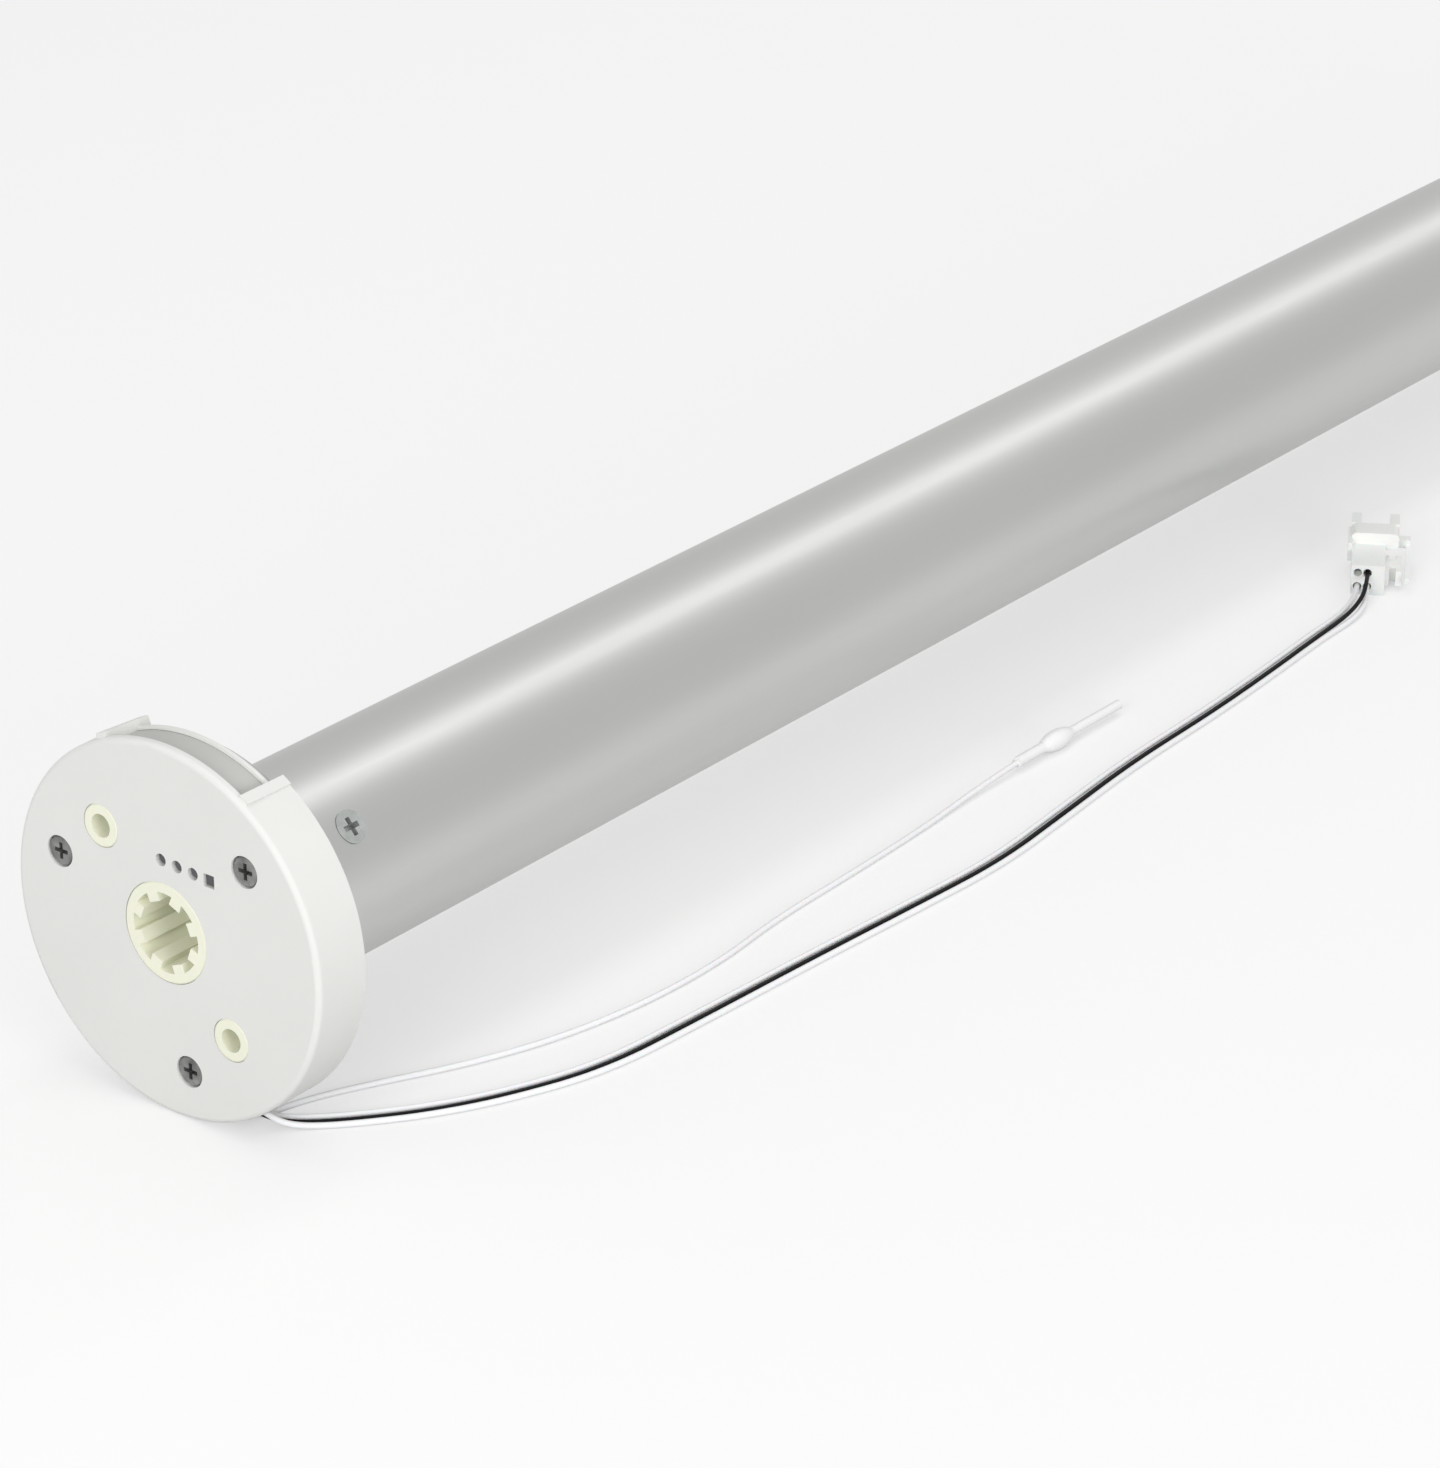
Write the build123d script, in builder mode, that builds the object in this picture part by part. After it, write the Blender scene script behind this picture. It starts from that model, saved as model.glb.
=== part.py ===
from build123d import *
import math
import os

os.makedirs("parts", exist_ok=True)

# A tubular roller blind motor, lying on a surface with its two leads beside it.
# X runs along the motor from the head's front face (x = 0) to the output shaft, and Z is up.
# Lengths are millimetres. A turn is an angle about the motor axis, from straight up towards -Y.

# Overall sizes
tube_radius = 15.0
tube_wall = 1.2
tube_length = 420.0
head_radius = 27.25
head_depth = 9.0
output_length = 20.0

# Fits shared by many pieces
overrun = 1.0
slide_gap = 0.05
running_gap = 0.05
loose_gap = 0.1
axial_gap = 0.4
small_edge = 0.2

# Head cover, a cup whose open side faces the tube
face_thickness = 2.2
face_edge = 0.8
skirt_wall = 1.85
window_turns = (-22.0, 30.0)
window_front = 1.4
strap_end = 7.1
strap_width = 0.6
strap_drop = 0.55
strap_wall = 0.45
lips = ((-25.2, -22.0, 28.0), (30.0, 33.4, 27.7))
lip_rear_radius = 27.5
lip_overhang = 0.1

# Head housing, the drum behind the cover and the spigot that carries the tube
drum_gap = 0.2
drum_wall = 1.8
drum_rear_wall = 2.0
spigot_length = 25.0
spigot_bore = 11.3
board_rib_inner = 14.4
board_rib_outer = 15.2

# Screws that hold the cover
cover_screw_circle = 20.0
cover_screw_turns = (-71.6, 47.6, 170.9)
cover_screw_head = 2.2
cover_screw_head_height = 1.2
cover_screw_shank = 0.95
cover_screw_length = 6.0
cover_screw_recess = 0.2
cover_screw_boss = 2.2

# Bracket socket, one moulding with the toothed hole and two screw bosses
socket_radius = 7.3
socket_root = 5.85
socket_tip = 4.5
socket_teeth = 8
socket_tooth_width = 1.9
socket_depth = 11.0
socket_floor = 2.0
boss_circle = 16.65
boss_turns = (-41.7, 138.3)
boss_front_radius = 3.1
boss_rear_radius = 2.6
boss_hole_radius = 1.7
boss_hole_depth = 6.0
strap_front = 2.4
strap_thickness = 1.2

# Row of apertures: three setting buttons and one light
aperture_pitch = 2.87
aperture_row_start = (0.25, 10.72)
aperture_row_slope = 3.3
button_count = 3
button_hole = 0.9
button_radius = 0.8
button_recess = 0.45
button_flange_radius = 1.25
button_flange = 0.5
button_end = 3.1
button_travel = 0.4
light_hole_side = 1.9
light_recess = 0.35
light_flange_side = 2.4
switch_side = 2.5

# Head circuit board
head_board_front = 5.0
head_board_thickness = 1.0
head_board_inner = 8.0
head_board_outer = 15.6
head_board_boss_gap = 0.4

# Wires and the rubber bush that they leave the head through
wire_radius = 0.45
black_wire_radius = 0.36
wire_rest = 0.02
bush_turn = 155.7
bush_centre = 4.35
bush_thickness = 3.3
bush_width = 6.4
bush_outer = 27.4
bush_inner = 22.3
bush_flange = 0.7
bush_corner = 1.0
inner_lead_pitch = 1.15
inner_lead_count = 4
inner_lead_end = 14.7

# Screws through the tube wall, as far from its head end as from its output end
tube_screw_inset = 15.4
tube_screw_turns = (49.4, 229.4)
tube_screw_head = 2.45
tube_screw_head_height = 1.15
tube_screw_shank = 1.2
tube_screw_length = 4.6
tube_screw_proud = 0.05

# Cross recess in every screw head
cross_share = 0.55
cross_width_share = 0.32
cross_taper = 6.0

# Control board and its carrier
carrier_start = 38.0
carrier_length = 188.0
carrier_wall = 1.2
carrier_rib = 1.5
board_under = -1.0
board_thickness = 1.6
board_width = 26.0
board_end_gap = 2.0
board_corner = 1.5
radio_place = 62.0
radio_size = (22.0, 15.0, 3.2)
radio_wall = 0.3
chip_places = (90.0, 150.0, 163.0)
chip_sizes = ((12.0, 12.0, 1.5), (8.0, 9.0, 1.8), (8.0, 9.0, 1.8))
capacitor_places = (112.0, 130.0)
capacitor_radius = 4.0
capacitor_length = 12.0
capacitor_bead = 0.35
capacitor_bead_place = 1.6

# Flat cables inside, from the head board and to the encoder board
flat_cable_width = 8.0
flat_cable_thickness = 0.25
flat_cable_radius = 1.5
flat_cable_rise = 9.5
flat_cable_top = 13.2
flat_cable_level_end = 24.0
flat_cable_landing = 46.0
flat_cable_foot = 3.0
encoder_cable_start = 212.0
encoder_cable_top = 5.0

# Direct-current motor
motor_start = 242.0
bell_radius = 12.0
bell_flange = 4.0
bell_plug_length = 6.0
bell_plug_bore = 9.5
can_length = 70.0
can_wall = 0.9
can_nose_radius = 4.4
can_nose_length = 3.0
magnet_thickness = 1.8
magnet_half_angle = 66.0
magnet_start = 14.0
magnet_length = 46.0
armature_radius = 8.8
armature_start = 20.0
armature_length = 36.0
armature_poles = 5
armature_hub = 3.4
armature_arm_width = 2.4
armature_shoe = 1.3
armature_shoe_angle = 57.0
winding_outline = ((2.2, 3.5), (3.4, 6.6), (1.8, 7.2))
winding_overhang = 2.5
commutator_start = 8.5
commutator_radius = 3.0
commutator_length = 6.0
commutator_slot = 0.4
commutator_slot_depth = 0.6
brush_width = 2.6
brush_length = 5.0
brush_tip_gap = 0.03
brush_channel_end = 8.2
brush_holder_start = 3.8
brush_holder_wall = 0.7
motor_bush_radius = 3.0
motor_bush_length = 3.0
motor_bush_lip = 0.6
shaft_radius = 1.5
shaft_clearance = 0.3
shaft_tail = 3.4
damper_width = 6.0
damper_places = (12.0, 56.0)
encoder_magnet_radius = 4.8
encoder_magnet_length = 2.4
encoder_board_radius = 9.0
encoder_board_thickness = 1.0
encoder_board_gap = 5.0
encoder_chip = (3.0, 3.0, 0.8)
encoder_post_circle = 7.3
encoder_post_radius = 0.8
encoder_posts = 3
motor_lead_radius = 0.75
motor_lead_pitch = 6.5
motor_lead_spread = 10.2
motor_lead_start = 216.0
motor_lead_bend = 228.0
motor_lead_bend_length = 8.0
motor_lead_arc = 6.0

# Magnetic brake between the motor and the gears
brake_start = 3.0
brake_magnet_inset = 1.0
brake_magnet_radius = 7.8
brake_magnet_length = 8.0
brake_ring_length = 10.0
brake_ring_inner = 8.6
brake_ring_outer = 11.5
brake_ring_shoulder = 10.5
brake_ring_slots = 8
brake_slot_width = 2.4
brake_slot_depth = 1.2
adapter_length = 20.0
casing_radius = 13.7

# Lugs that lock each casing to the next one
lug_count = 4
lug_radius = 11.6
lug_length = 3.0
lug_half_angle = 11.0
lug_play_angle = 0.4

# Three planetary stages in one ring gear
module = 0.45
pressure_angle = 25.0
addendum_share = 0.8
dedendum_share = 1.1
flank_gap = 0.1
sun_teeth = 12
planet_teeth = 18
ring_teeth = 48
planets_per_stage = 3
sun_overrun_share = 0.25
planet_widths = (6.0, 8.0, 11.0)
disc_thicknesses = (3.0, 3.5, 5.0)
disc_radius = 10.1
pin_radius = 1.2
gear_rear_plate = 3.0
sun_hole = 3.6
case_end_gap = 0.6

# Output end
output_radius = 5.0
output_hex = 8.0
output_hex_length = 13.0
output_bush_radius = 9.0
output_bush_width = 7.0
output_bush_inset = 3.0
end_block_bore = 7.5
end_flange = 2.0
groove_depth = 0.5
clip_width = 1.0
clip_outer = 7.0
clip_gap_width = 6.0

# Lead connector. Its own frame is forward, left and up from the point under the
# middle of its wire holes, where its rear face meets the surface.
connector_place = (248.2, -32.4)
connector_heading = 31.0
body_left = 1.9
body_right = -3.6
body_length = 13.5
body_height = 5.2
hood_left = 2.1
hood_right = -5.8
hood_start = 9.1
hood_low = 4.4
hood_height = 7.2
hood_corner = 1.0
rail_left = 2.6
rail_start = 6.5
rail_low = 3.2
rail_high = 6.4
prong_length = 4.4
prong_width = 1.6
prong_height = 1.8
rib_right = -4.3
fin_left = -5.4
fin_right = -6.3
fin_start = 2.4
fin_end = 9.0
fin_low = 0.8
fin_high = 3.4
fin_web_start = 4.2
fin_web_end = 7.4
lever_left = -6.9
lever_right = -7.7
lever_under = [(0.8, 2.0), (7.0, 2.7), (13.0, 3.5)]
lever_over = [(13.0, 4.4), (7.0, 3.6), (0.8, 2.9)]
lever_web_start = 11.6
lever_web_low = 3.8
lever_web_high = 5.2
lever_web_left = -5.0
hole_left = 0.8
hole_low = 1.5
hole_high = 3.9
hole_radius = 0.7
hole_depth = 1.8
contact_side = 1.0
contact_length = 8.0

# End sleeve of the antenna
sleeve_place = (157.5, -27.0)
sleeve_heading = -0.6
sleeve_radius = 0.85
sleeve_tip_radius = 0.75
sleeve_neck = 6.8
sleeve_bead_radius = 1.6
sleeve_bead_length = 7.4
sleeve_bead_top_share = 0.55
sleeve_length = 27.3

# Routes of the free wires, chosen by eye: x, y, and how far each point is lifted
# above a wire that lies on the surface.
black_route = [
    (4.0, -11.34, 2.22), (5.2, -12.5, 1.13), (6.9, -14.3, 0.28), (9.6, -17.0, 0),
    (14.0, -21.1, 0), (20.9, -26.6, 0), (30.5, -32.1, 0), (45.0, -37.6, 0),
    (64.0, -38.9, 0), (88.0, -40.3, 0), (110.0, -41.9, 0), (129.5, -43.2, 0),
    (149.0, -41.4, 0), (170.0, -39.4, 0), (193.0, -38.9, 0), (213.0, -37.6, 0),
    (228.0, -36.3, 0), (237.5, -36.2, 0.5), (242.8, -35.9, 1.9), (246.97, -34.08, 3.38),
    (249.89, -32.33, 3.38),
]
inner_white_route = [
    (4.0, -10.29, 1.75), (5.9, -11.6, 0.85), (7.9, -13.35, 0.2), (10.5, -16.05, 0),
    (14.85, -20.15, 0), (21.6, -25.5, 0), (31.0, -31.0, 0), (45.3, -36.4, 0),
    (64.1, -37.7, 0), (88.1, -39.1, 0), (110.1, -40.7, 0), (129.5, -42.0, 0),
    (148.9, -40.2, 0), (169.9, -38.2, 0), (192.9, -37.7, 0), (212.9, -36.4, 0),
    (227.8, -35.1, 0), (237.2, -34.8, 0.1), (241.9, -34.1, 0.5), (246.16, -32.69, 0.98),
    (249.08, -30.94, 0.98),
]
outer_white_route = [
    (4.0, -12.39, 2.7), (4.75, -13.6, 1.45), (6.3, -15.4, 0.4), (8.85, -18.0, 0),
    (13.2, -22.05, 0), (20.2, -27.6, 0), (30.0, -33.2, 0), (44.7, -38.75, 0),
    (63.9, -40.1, 0), (87.9, -41.5, 0), (109.9, -43.1, 0), (129.5, -44.4, 0),
    (149.1, -42.6, 0), (170.1, -40.6, 0), (193.1, -40.1, 0), (213.1, -38.8, 0),
    (228.1, -37.5, 0), (237.6, -37.4, 0.05), (242.9, -36.2, 0.45), (246.98, -34.07, 0.98),
    (249.9, -32.32, 0.98),
]
antenna_route = [
    (4.0, -9.24, 1.28), (5.3, -9.85, 0.58), (7.3, -10.6, 0.08), (10.6, -11.0, 0),
    (16.0, -12.9, 0), (23.5, -16.6, 0), (34.0, -22.2, 0), (47.0, -27.2, 0),
    (62.5, -30.2, 0), (79.0, -30.8, 0), (95.0, -28.9, 0), (114.0, -28.6, 0),
    (133.0, -27.9, 0), (147.8, -26.9, 0.5), (159.5, -27.02, 1.15),
]
arc_share = 0.45

# Places that follow from the sizes above
floor = -head_radius
tube_bore = tube_radius - tube_wall
tube_end = head_depth + tube_length
skirt_bore = head_radius - skirt_wall
drum_radius = skirt_bore - drum_gap
drum_bore = drum_radius - drum_wall
window_rear = strap_end - strap_width
strap_radius = head_radius - strap_drop
key_bore = strap_radius - strap_wall
key_radius = key_bore - slide_gap
key_gap_turn = math.degrees(slide_gap / key_radius)
key_turns = (window_turns[0] + key_gap_turn, window_turns[1] - key_gap_turn)
drum_front = face_thickness + loose_gap
drum_rear_inside = head_depth - drum_rear_wall
spigot_radius = tube_bore - slide_gap
spigot_end = head_depth + spigot_length
head_board_rear = head_board_front + head_board_thickness
tube_screw_places = (head_depth + tube_screw_inset, tube_end - tube_screw_inset)
board_top = board_under + board_thickness
board_start = carrier_start + board_end_gap
board_length = carrier_length - 2 * board_end_gap
encoder_board_start = motor_start - encoder_board_gap - encoder_board_thickness
shaft_start = motor_start - shaft_tail
can_start = motor_start + bell_flange
can_end = can_start + can_length
can_bore = bell_radius - can_wall
nose_end = can_end + can_nose_length
core_start = motor_start + armature_start
brush_x = motor_start + commutator_start + commutator_length / 2
brush_tip = commutator_radius + brush_tip_gap
bush_starts = (can_start - motor_bush_length, nose_end - motor_bush_lip - motor_bush_length)
shaft_bore = shaft_radius + shaft_clearance
adapter_end = can_end + adapter_length
brake_ring_start = nose_end + brake_start
gear_start = adapter_end + gear_rear_plate
sun_radius = module * sun_teeth / 2
planet_radius = module * planet_teeth / 2
orbit_radius = sun_radius + planet_radius
addendum = addendum_share * module
dedendum = dedendum_share * module

# Each planetary stage: where its planets start, where its disc starts and where its disc ends
stages = []
stage_start = gear_start
for planet_width, disc_thickness in zip(planet_widths, disc_thicknesses):
    planet_start = stage_start + axial_gap
    disc_start = planet_start + planet_width + axial_gap
    stage_start = disc_start + disc_thickness
    stages.append((planet_start, disc_start, stage_start))
case_end = stage_start + case_end_gap
end_face = tube_end + end_flange
output_bush_starts = (case_end + output_bush_inset, end_face - output_bush_width)
clip_start = end_face + axial_gap
hex_start = end_face + output_length - output_hex_length


def across(x):
    """The plane square to the motor axis at x. Its own axes are Y and Z."""
    return Plane.YZ.offset(x)


def along(turn):
    """The plane through the motor axis at a turn. Its own axes are X and outward."""
    angle = math.radians(turn)
    return Plane(origin=(0, 0, 0), x_dir=(1, 0, 0), z_dir=(0, -math.cos(angle), -math.sin(angle)))


def facing(turn, distance, x=0.0):
    """The plane that faces outward at a turn, at a distance from the axis. Its own X is the motor's."""
    angle = math.radians(turn)
    outward = Vector(0, -math.sin(angle), math.cos(angle))
    return Plane(origin=outward * distance + Vector(x, 0, 0), x_dir=(1, 0, 0), z_dir=outward)


def spot(radius, turn):
    """A point of a plane across the axis, at a radius and a turn."""
    angle = math.radians(turn)
    return (-radius * math.sin(angle), radius * math.cos(angle))


def ring_sector(inner, outer, start, end):
    """The part of a ring between two turns."""
    middle = (start + end) / 2
    with BuildSketch() as sector:
        with BuildLine():
            ThreePointArc(spot(outer, start), spot(outer, middle), spot(outer, end))
            Line(spot(outer, end), spot(inner, end))
            ThreePointArc(spot(inner, end), spot(inner, middle), spot(inner, start))
            Line(spot(inner, start), spot(outer, start))
        make_face()
    return sector.sketch


def tooth_half_angle(radius, teeth, allowance):
    """Half the angle of one tooth at a radius, with involute flanks."""
    pitch_radius = module * teeth / 2
    pressure = math.radians(pressure_angle)
    here = math.acos(min(1.0, pitch_radius * math.cos(pressure) / radius))
    thickness = math.pi * module / 2 + allowance
    growth = math.tan(pressure) - pressure - math.tan(here) + here
    return math.degrees(thickness / (2 * pitch_radius) + growth)


def gear_outline(teeth, above, below, allowance, first):
    """A toothed outline. The teeth reach above and below the pitch circle, and one sits at first."""
    pitch_radius = module * teeth / 2
    radii = (pitch_radius - below, pitch_radius, pitch_radius + above)
    halves = [tooth_half_angle(radius, teeth, allowance) for radius in radii]

    def point(level, angle):
        turned = math.radians(angle)
        return (radii[level] * math.cos(turned), radii[level] * math.sin(turned))

    with BuildSketch() as outline:
        with BuildLine():
            for tooth in range(teeth):
                middle = first + 360 * tooth / teeth
                rise = [point(level, middle - halves[level]) for level in range(3)]
                fall = [point(level, middle + halves[level]) for level in (2, 1, 0)]
                following = middle + 360 / teeth
                ThreePointArc(*rise)
                ThreePointArc(rise[2], point(2, middle), fall[0])
                ThreePointArc(*fall)
                ThreePointArc(fall[2], point(0, middle + 180 / teeth), point(0, following - halves[0]))
        make_face()
    return outline.sketch


def outside_gear(teeth, first):
    """The outline of a gear with teeth on its outside, thinned for its running gap."""
    return gear_outline(teeth, addendum, dedendum, -flank_gap, first)


def turned_screw(outline, head, shank):
    """A cross-head screw that points down from the middle of its head, turned from half its outline."""
    with BuildPart() as screw:
        with BuildSketch(Plane.XZ):
            with BuildLine():
                Polyline(*outline, close=True)
            make_face()
        revolve(axis=Axis.Z)
        with BuildSketch():
            Rectangle(2 * head * cross_share, 2 * shank * cross_width_share)
            Rectangle(2 * shank * cross_width_share, 2 * head * cross_share)
        extrude(amount=-head * cross_share, taper=cross_taper, mode=Mode.SUBTRACT)
    return screw.part


def pan_screw(head, head_height, shank, length):
    """A pan-head screw with a bevelled rim and a pointed end."""
    outline = [
        (0, 0), (head - small_edge, 0), (head, -small_edge), (head, -head_height),
        (shank, -head_height), (shank, -length + shank), (0, -length),
    ]
    return turned_screw(outline, head, shank)


def countersunk_outline(gap):
    """Half the outline of a tube screw, or of its seat when it is widened by a gap."""
    head = tube_screw_head + gap
    shank = tube_screw_shank + gap
    return [
        (0, 0), (head, 0), (head, -small_edge), (shank, -tube_screw_head_height),
        (shank, -tube_screw_length + shank), (0, -tube_screw_length - gap),
    ]


def tube_screw_seat():
    """The solid that a tube screw's hole takes away, pointing down from the middle of the head."""
    with BuildPart() as seat:
        with BuildSketch(Plane.XZ):
            with BuildLine():
                Polyline(*countersunk_outline(slide_gap), close=True)
            make_face()
        revolve(axis=Axis.Z)
        with BuildSketch():
            Circle(tube_screw_head + slide_gap)
        extrude(amount=overrun)
    return seat.part


def screw_seats(place):
    """The planes on which the heads of the tube screws at one place along the tube lie."""
    return [facing(turn, tube_radius + tube_screw_proud, place) for turn in tube_screw_turns]


# Head cover
with BuildPart() as head_cover:
    with BuildSketch(across(0)):
        Circle(head_radius)
    extrude(amount=head_depth)
    fillet(head_cover.edges().group_by(Axis.X)[0], radius=face_edge)
    with BuildSketch(across(face_thickness)):
        Circle(skirt_bore)
    extrude(amount=head_depth, mode=Mode.SUBTRACT)
    with BuildSketch(across(window_front)):
        add(ring_sector(skirt_bore, head_radius + overrun, *window_turns))
    extrude(amount=window_rear - window_front, mode=Mode.SUBTRACT)
    with BuildSketch(across(window_front)):
        add(ring_sector(skirt_bore, key_bore, *window_turns))
    extrude(amount=head_depth, mode=Mode.SUBTRACT)
    with BuildSketch(across(window_rear)):
        add(ring_sector(strap_radius, head_radius + overrun, *window_turns))
    extrude(amount=head_depth, mode=Mode.SUBTRACT)
    with BuildSketch(across(strap_end)):
        add(ring_sector(skirt_bore, head_radius + overrun, *window_turns))
    extrude(amount=head_depth, mode=Mode.SUBTRACT)
    for start, end, lip_front_radius in lips:
        with BuildSketch(along(start)):
            with BuildLine():
                Polyline(
                    (face_edge, skirt_bore), (face_edge, lip_front_radius),
                    (head_depth + lip_overhang, lip_rear_radius), (head_depth + lip_overhang, skirt_bore),
                    (face_edge, skirt_bore),
                )
            make_face()
        revolve(axis=Axis.X, revolution_arc=end - start)
    with BuildSketch(across(0)):
        Circle(socket_radius + slide_gap)
        with Locations(*[spot(boss_circle, turn) for turn in boss_turns]):
            Circle(boss_front_radius + slide_gap)
        with Locations(*[spot(cover_screw_circle, turn) for turn in cover_screw_turns]):
            Circle(cover_screw_shank + loose_gap)
    extrude(amount=face_thickness, mode=Mode.SUBTRACT)
    with BuildSketch(across(0)):
        with Locations(*[spot(cover_screw_circle, turn) for turn in cover_screw_turns]):
            Circle(cover_screw_head + loose_gap)
    extrude(amount=cover_screw_recess + cover_screw_head_height, mode=Mode.SUBTRACT)
    row_step = Vector(-aperture_pitch, 0).rotate(Axis.Z, aperture_row_slope)
    aperture_spots = [Vector(*aperture_row_start) + row_step * place for place in range(button_count + 1)]
    with BuildSketch(across(0)):
        with Locations(*aperture_spots[:button_count]):
            Circle(button_hole)
        with Locations(aperture_spots[button_count]):
            Rectangle(light_hole_side, light_hole_side)
    extrude(amount=face_thickness, mode=Mode.SUBTRACT)
    with BuildSketch(facing(bush_turn, bush_inner, bush_centre)):
        RectangleRounded(bush_thickness, bush_width, bush_corner)
    extrude(amount=head_radius, mode=Mode.SUBTRACT)
head_cover.part.label = "head_cover"
export_step(head_cover.part, "parts/head_cover.step")

# Head housing
with BuildPart() as head_housing:
    with BuildSketch(across(drum_front)):
        Circle(drum_radius)
    extrude(amount=head_depth - drum_front)
    with BuildSketch(across(drum_front)):
        add(ring_sector(drum_bore, key_radius, *key_turns))
    extrude(amount=strap_end - drum_front)
    with BuildSketch(across(window_front + slide_gap)):
        add(ring_sector(skirt_bore + slide_gap, key_radius, *key_turns))
    extrude(amount=drum_front - window_front - slide_gap)
    with BuildSketch(across(head_depth)):
        Circle(spigot_radius)
    extrude(amount=spigot_length)
    chamfer(head_housing.edges().group_by(Axis.X)[-1], length=small_edge)
    with BuildSketch(across(drum_front)):
        Circle(drum_bore)
    extrude(amount=drum_rear_inside - drum_front, mode=Mode.SUBTRACT)
    with BuildSketch(across(drum_rear_inside)):
        Circle(spigot_bore)
    extrude(amount=spigot_end, mode=Mode.SUBTRACT)
    with BuildSketch(across(drum_front)):
        with Locations(*[spot(cover_screw_circle, turn) for turn in cover_screw_turns]):
            Circle(cover_screw_boss)
    extrude(amount=head_depth - drum_front)
    with BuildSketch(across(drum_front)):
        with Locations(*[spot(cover_screw_circle, turn) for turn in cover_screw_turns]):
            Circle(cover_screw_shank + slide_gap)
    extrude(amount=cover_screw_length, mode=Mode.SUBTRACT)
    with BuildSketch(across(head_board_rear + slide_gap)):
        Circle(board_rib_outer)
        Circle(board_rib_inner, mode=Mode.SUBTRACT)
        with Locations(*[spot(boss_circle, turn) for turn in boss_turns]):
            Circle(boss_rear_radius + head_board_boss_gap, mode=Mode.SUBTRACT)
    extrude(until=Until.NEXT)
    with Locations(*screw_seats(tube_screw_places[0])):
        add(tube_screw_seat(), mode=Mode.SUBTRACT)
    with BuildSketch(facing(bush_turn, bush_inner, bush_centre)):
        RectangleRounded(bush_thickness, bush_width, bush_corner)
    extrude(amount=head_radius, mode=Mode.SUBTRACT)
head_housing.part.label = "head_housing"
export_step(head_housing.part, "parts/head_housing.step")

# Bracket socket
with BuildPart() as bracket_socket:
    with BuildSketch(across(0)):
        Circle(socket_radius)
    extrude(amount=socket_depth + socket_floor)
    with BuildSketch(across(strap_front)):
        with Locations(Rotation(0, 0, boss_turns[0])):
            Rectangle(2 * boss_front_radius, 2 * boss_circle)
    extrude(amount=strap_thickness)
    with BuildSketch(across(0)):
        with Locations(*[spot(boss_circle, turn) for turn in boss_turns]):
            Circle(boss_front_radius)
    extrude(amount=strap_front + strap_thickness)
    with BuildSketch(across(0)):
        with Locations(*[spot(boss_circle, turn) for turn in boss_turns]):
            Circle(boss_rear_radius)
    extrude(amount=drum_rear_inside)
    with BuildSketch(across(0)):
        with Locations(*[spot(boss_circle, turn) for turn in boss_turns]):
            Circle(boss_hole_radius)
    extrude(amount=boss_hole_depth, mode=Mode.SUBTRACT)
    with BuildSketch(across(0)):
        Circle(socket_root)
        tooth_middle = (socket_tip + socket_radius) / 2
        with PolarLocations(tooth_middle, socket_teeth, start_angle=180 / socket_teeth):
            Rectangle(socket_radius - socket_tip, socket_tooth_width, mode=Mode.SUBTRACT)
    extrude(amount=socket_depth, mode=Mode.SUBTRACT)
    rims = bracket_socket.faces().sort_by(Axis.X)[0:3].edges().filter_by(GeomType.CIRCLE)
    wide_rims = rims.filter_by(lambda rim: rim.radius >= boss_front_radius and rim.is_closed)
    chamfer(wide_rims, length=small_edge)
bracket_socket.part.label = "bracket_socket"
export_step(bracket_socket.part, "parts/bracket_socket.step")

# Cover screws
with BuildPart() as cover_screws:
    for turn in cover_screw_turns:
        across_axis, up_axis = spot(cover_screw_circle, turn)
        seat = Plane(origin=(cover_screw_recess, across_axis, up_axis), z_dir=(-1, 0, 0))
        with Locations(seat):
            add(pan_screw(cover_screw_head, cover_screw_head_height, cover_screw_shank, cover_screw_length))
cover_screws.part.label = "cover_screws"
export_step(cover_screws.part, "parts/cover_screws.step")

# Setting buttons, three plungers behind the round apertures
button_names = ("up_button", "program_button", "down_button")
for name, (button_y, button_z, _) in zip(button_names, aperture_spots):
    with BuildPart() as button:
        with BuildSketch(across(button_recess)):
            with Locations((button_y, button_z)):
                Circle(button_radius)
        extrude(amount=button_end - button_recess)
        with BuildSketch(across(face_thickness + loose_gap)):
            with Locations((button_y, button_z)):
                Circle(button_flange_radius)
        extrude(amount=button_flange)
        chamfer(button.edges().group_by(Axis.X)[0], length=small_edge)
    button.part.label = name
    export_step(button.part, f"parts/{name}.step")

# Status light, which stands on the head board and fills the square aperture
with BuildPart() as status_light:
    with BuildSketch(across(light_recess)):
        with Locations(aperture_spots[button_count]):
            Rectangle(light_hole_side - 2 * slide_gap, light_hole_side - 2 * slide_gap)
    extrude(amount=head_board_front - light_recess)
    with BuildSketch(across(face_thickness + slide_gap)):
        with Locations(aperture_spots[button_count]):
            Rectangle(light_flange_side, light_flange_side)
    extrude(amount=button_flange)
    chamfer(status_light.edges().group_by(Axis.X)[0], length=small_edge)
status_light.part.label = "status_light"
export_step(status_light.part, "parts/status_light.step")

# Head circuit board, a ring behind the cover
with BuildPart() as head_board:
    with BuildSketch(across(head_board_front)):
        Circle(head_board_outer)
        Circle(head_board_inner, mode=Mode.SUBTRACT)
        with Locations(*[spot(boss_circle, turn) for turn in boss_turns]):
            Circle(boss_rear_radius + head_board_boss_gap, mode=Mode.SUBTRACT)
    extrude(amount=head_board_thickness)
head_board.part.label = "head_board"
export_step(head_board.part, "parts/head_board.step")

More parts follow.
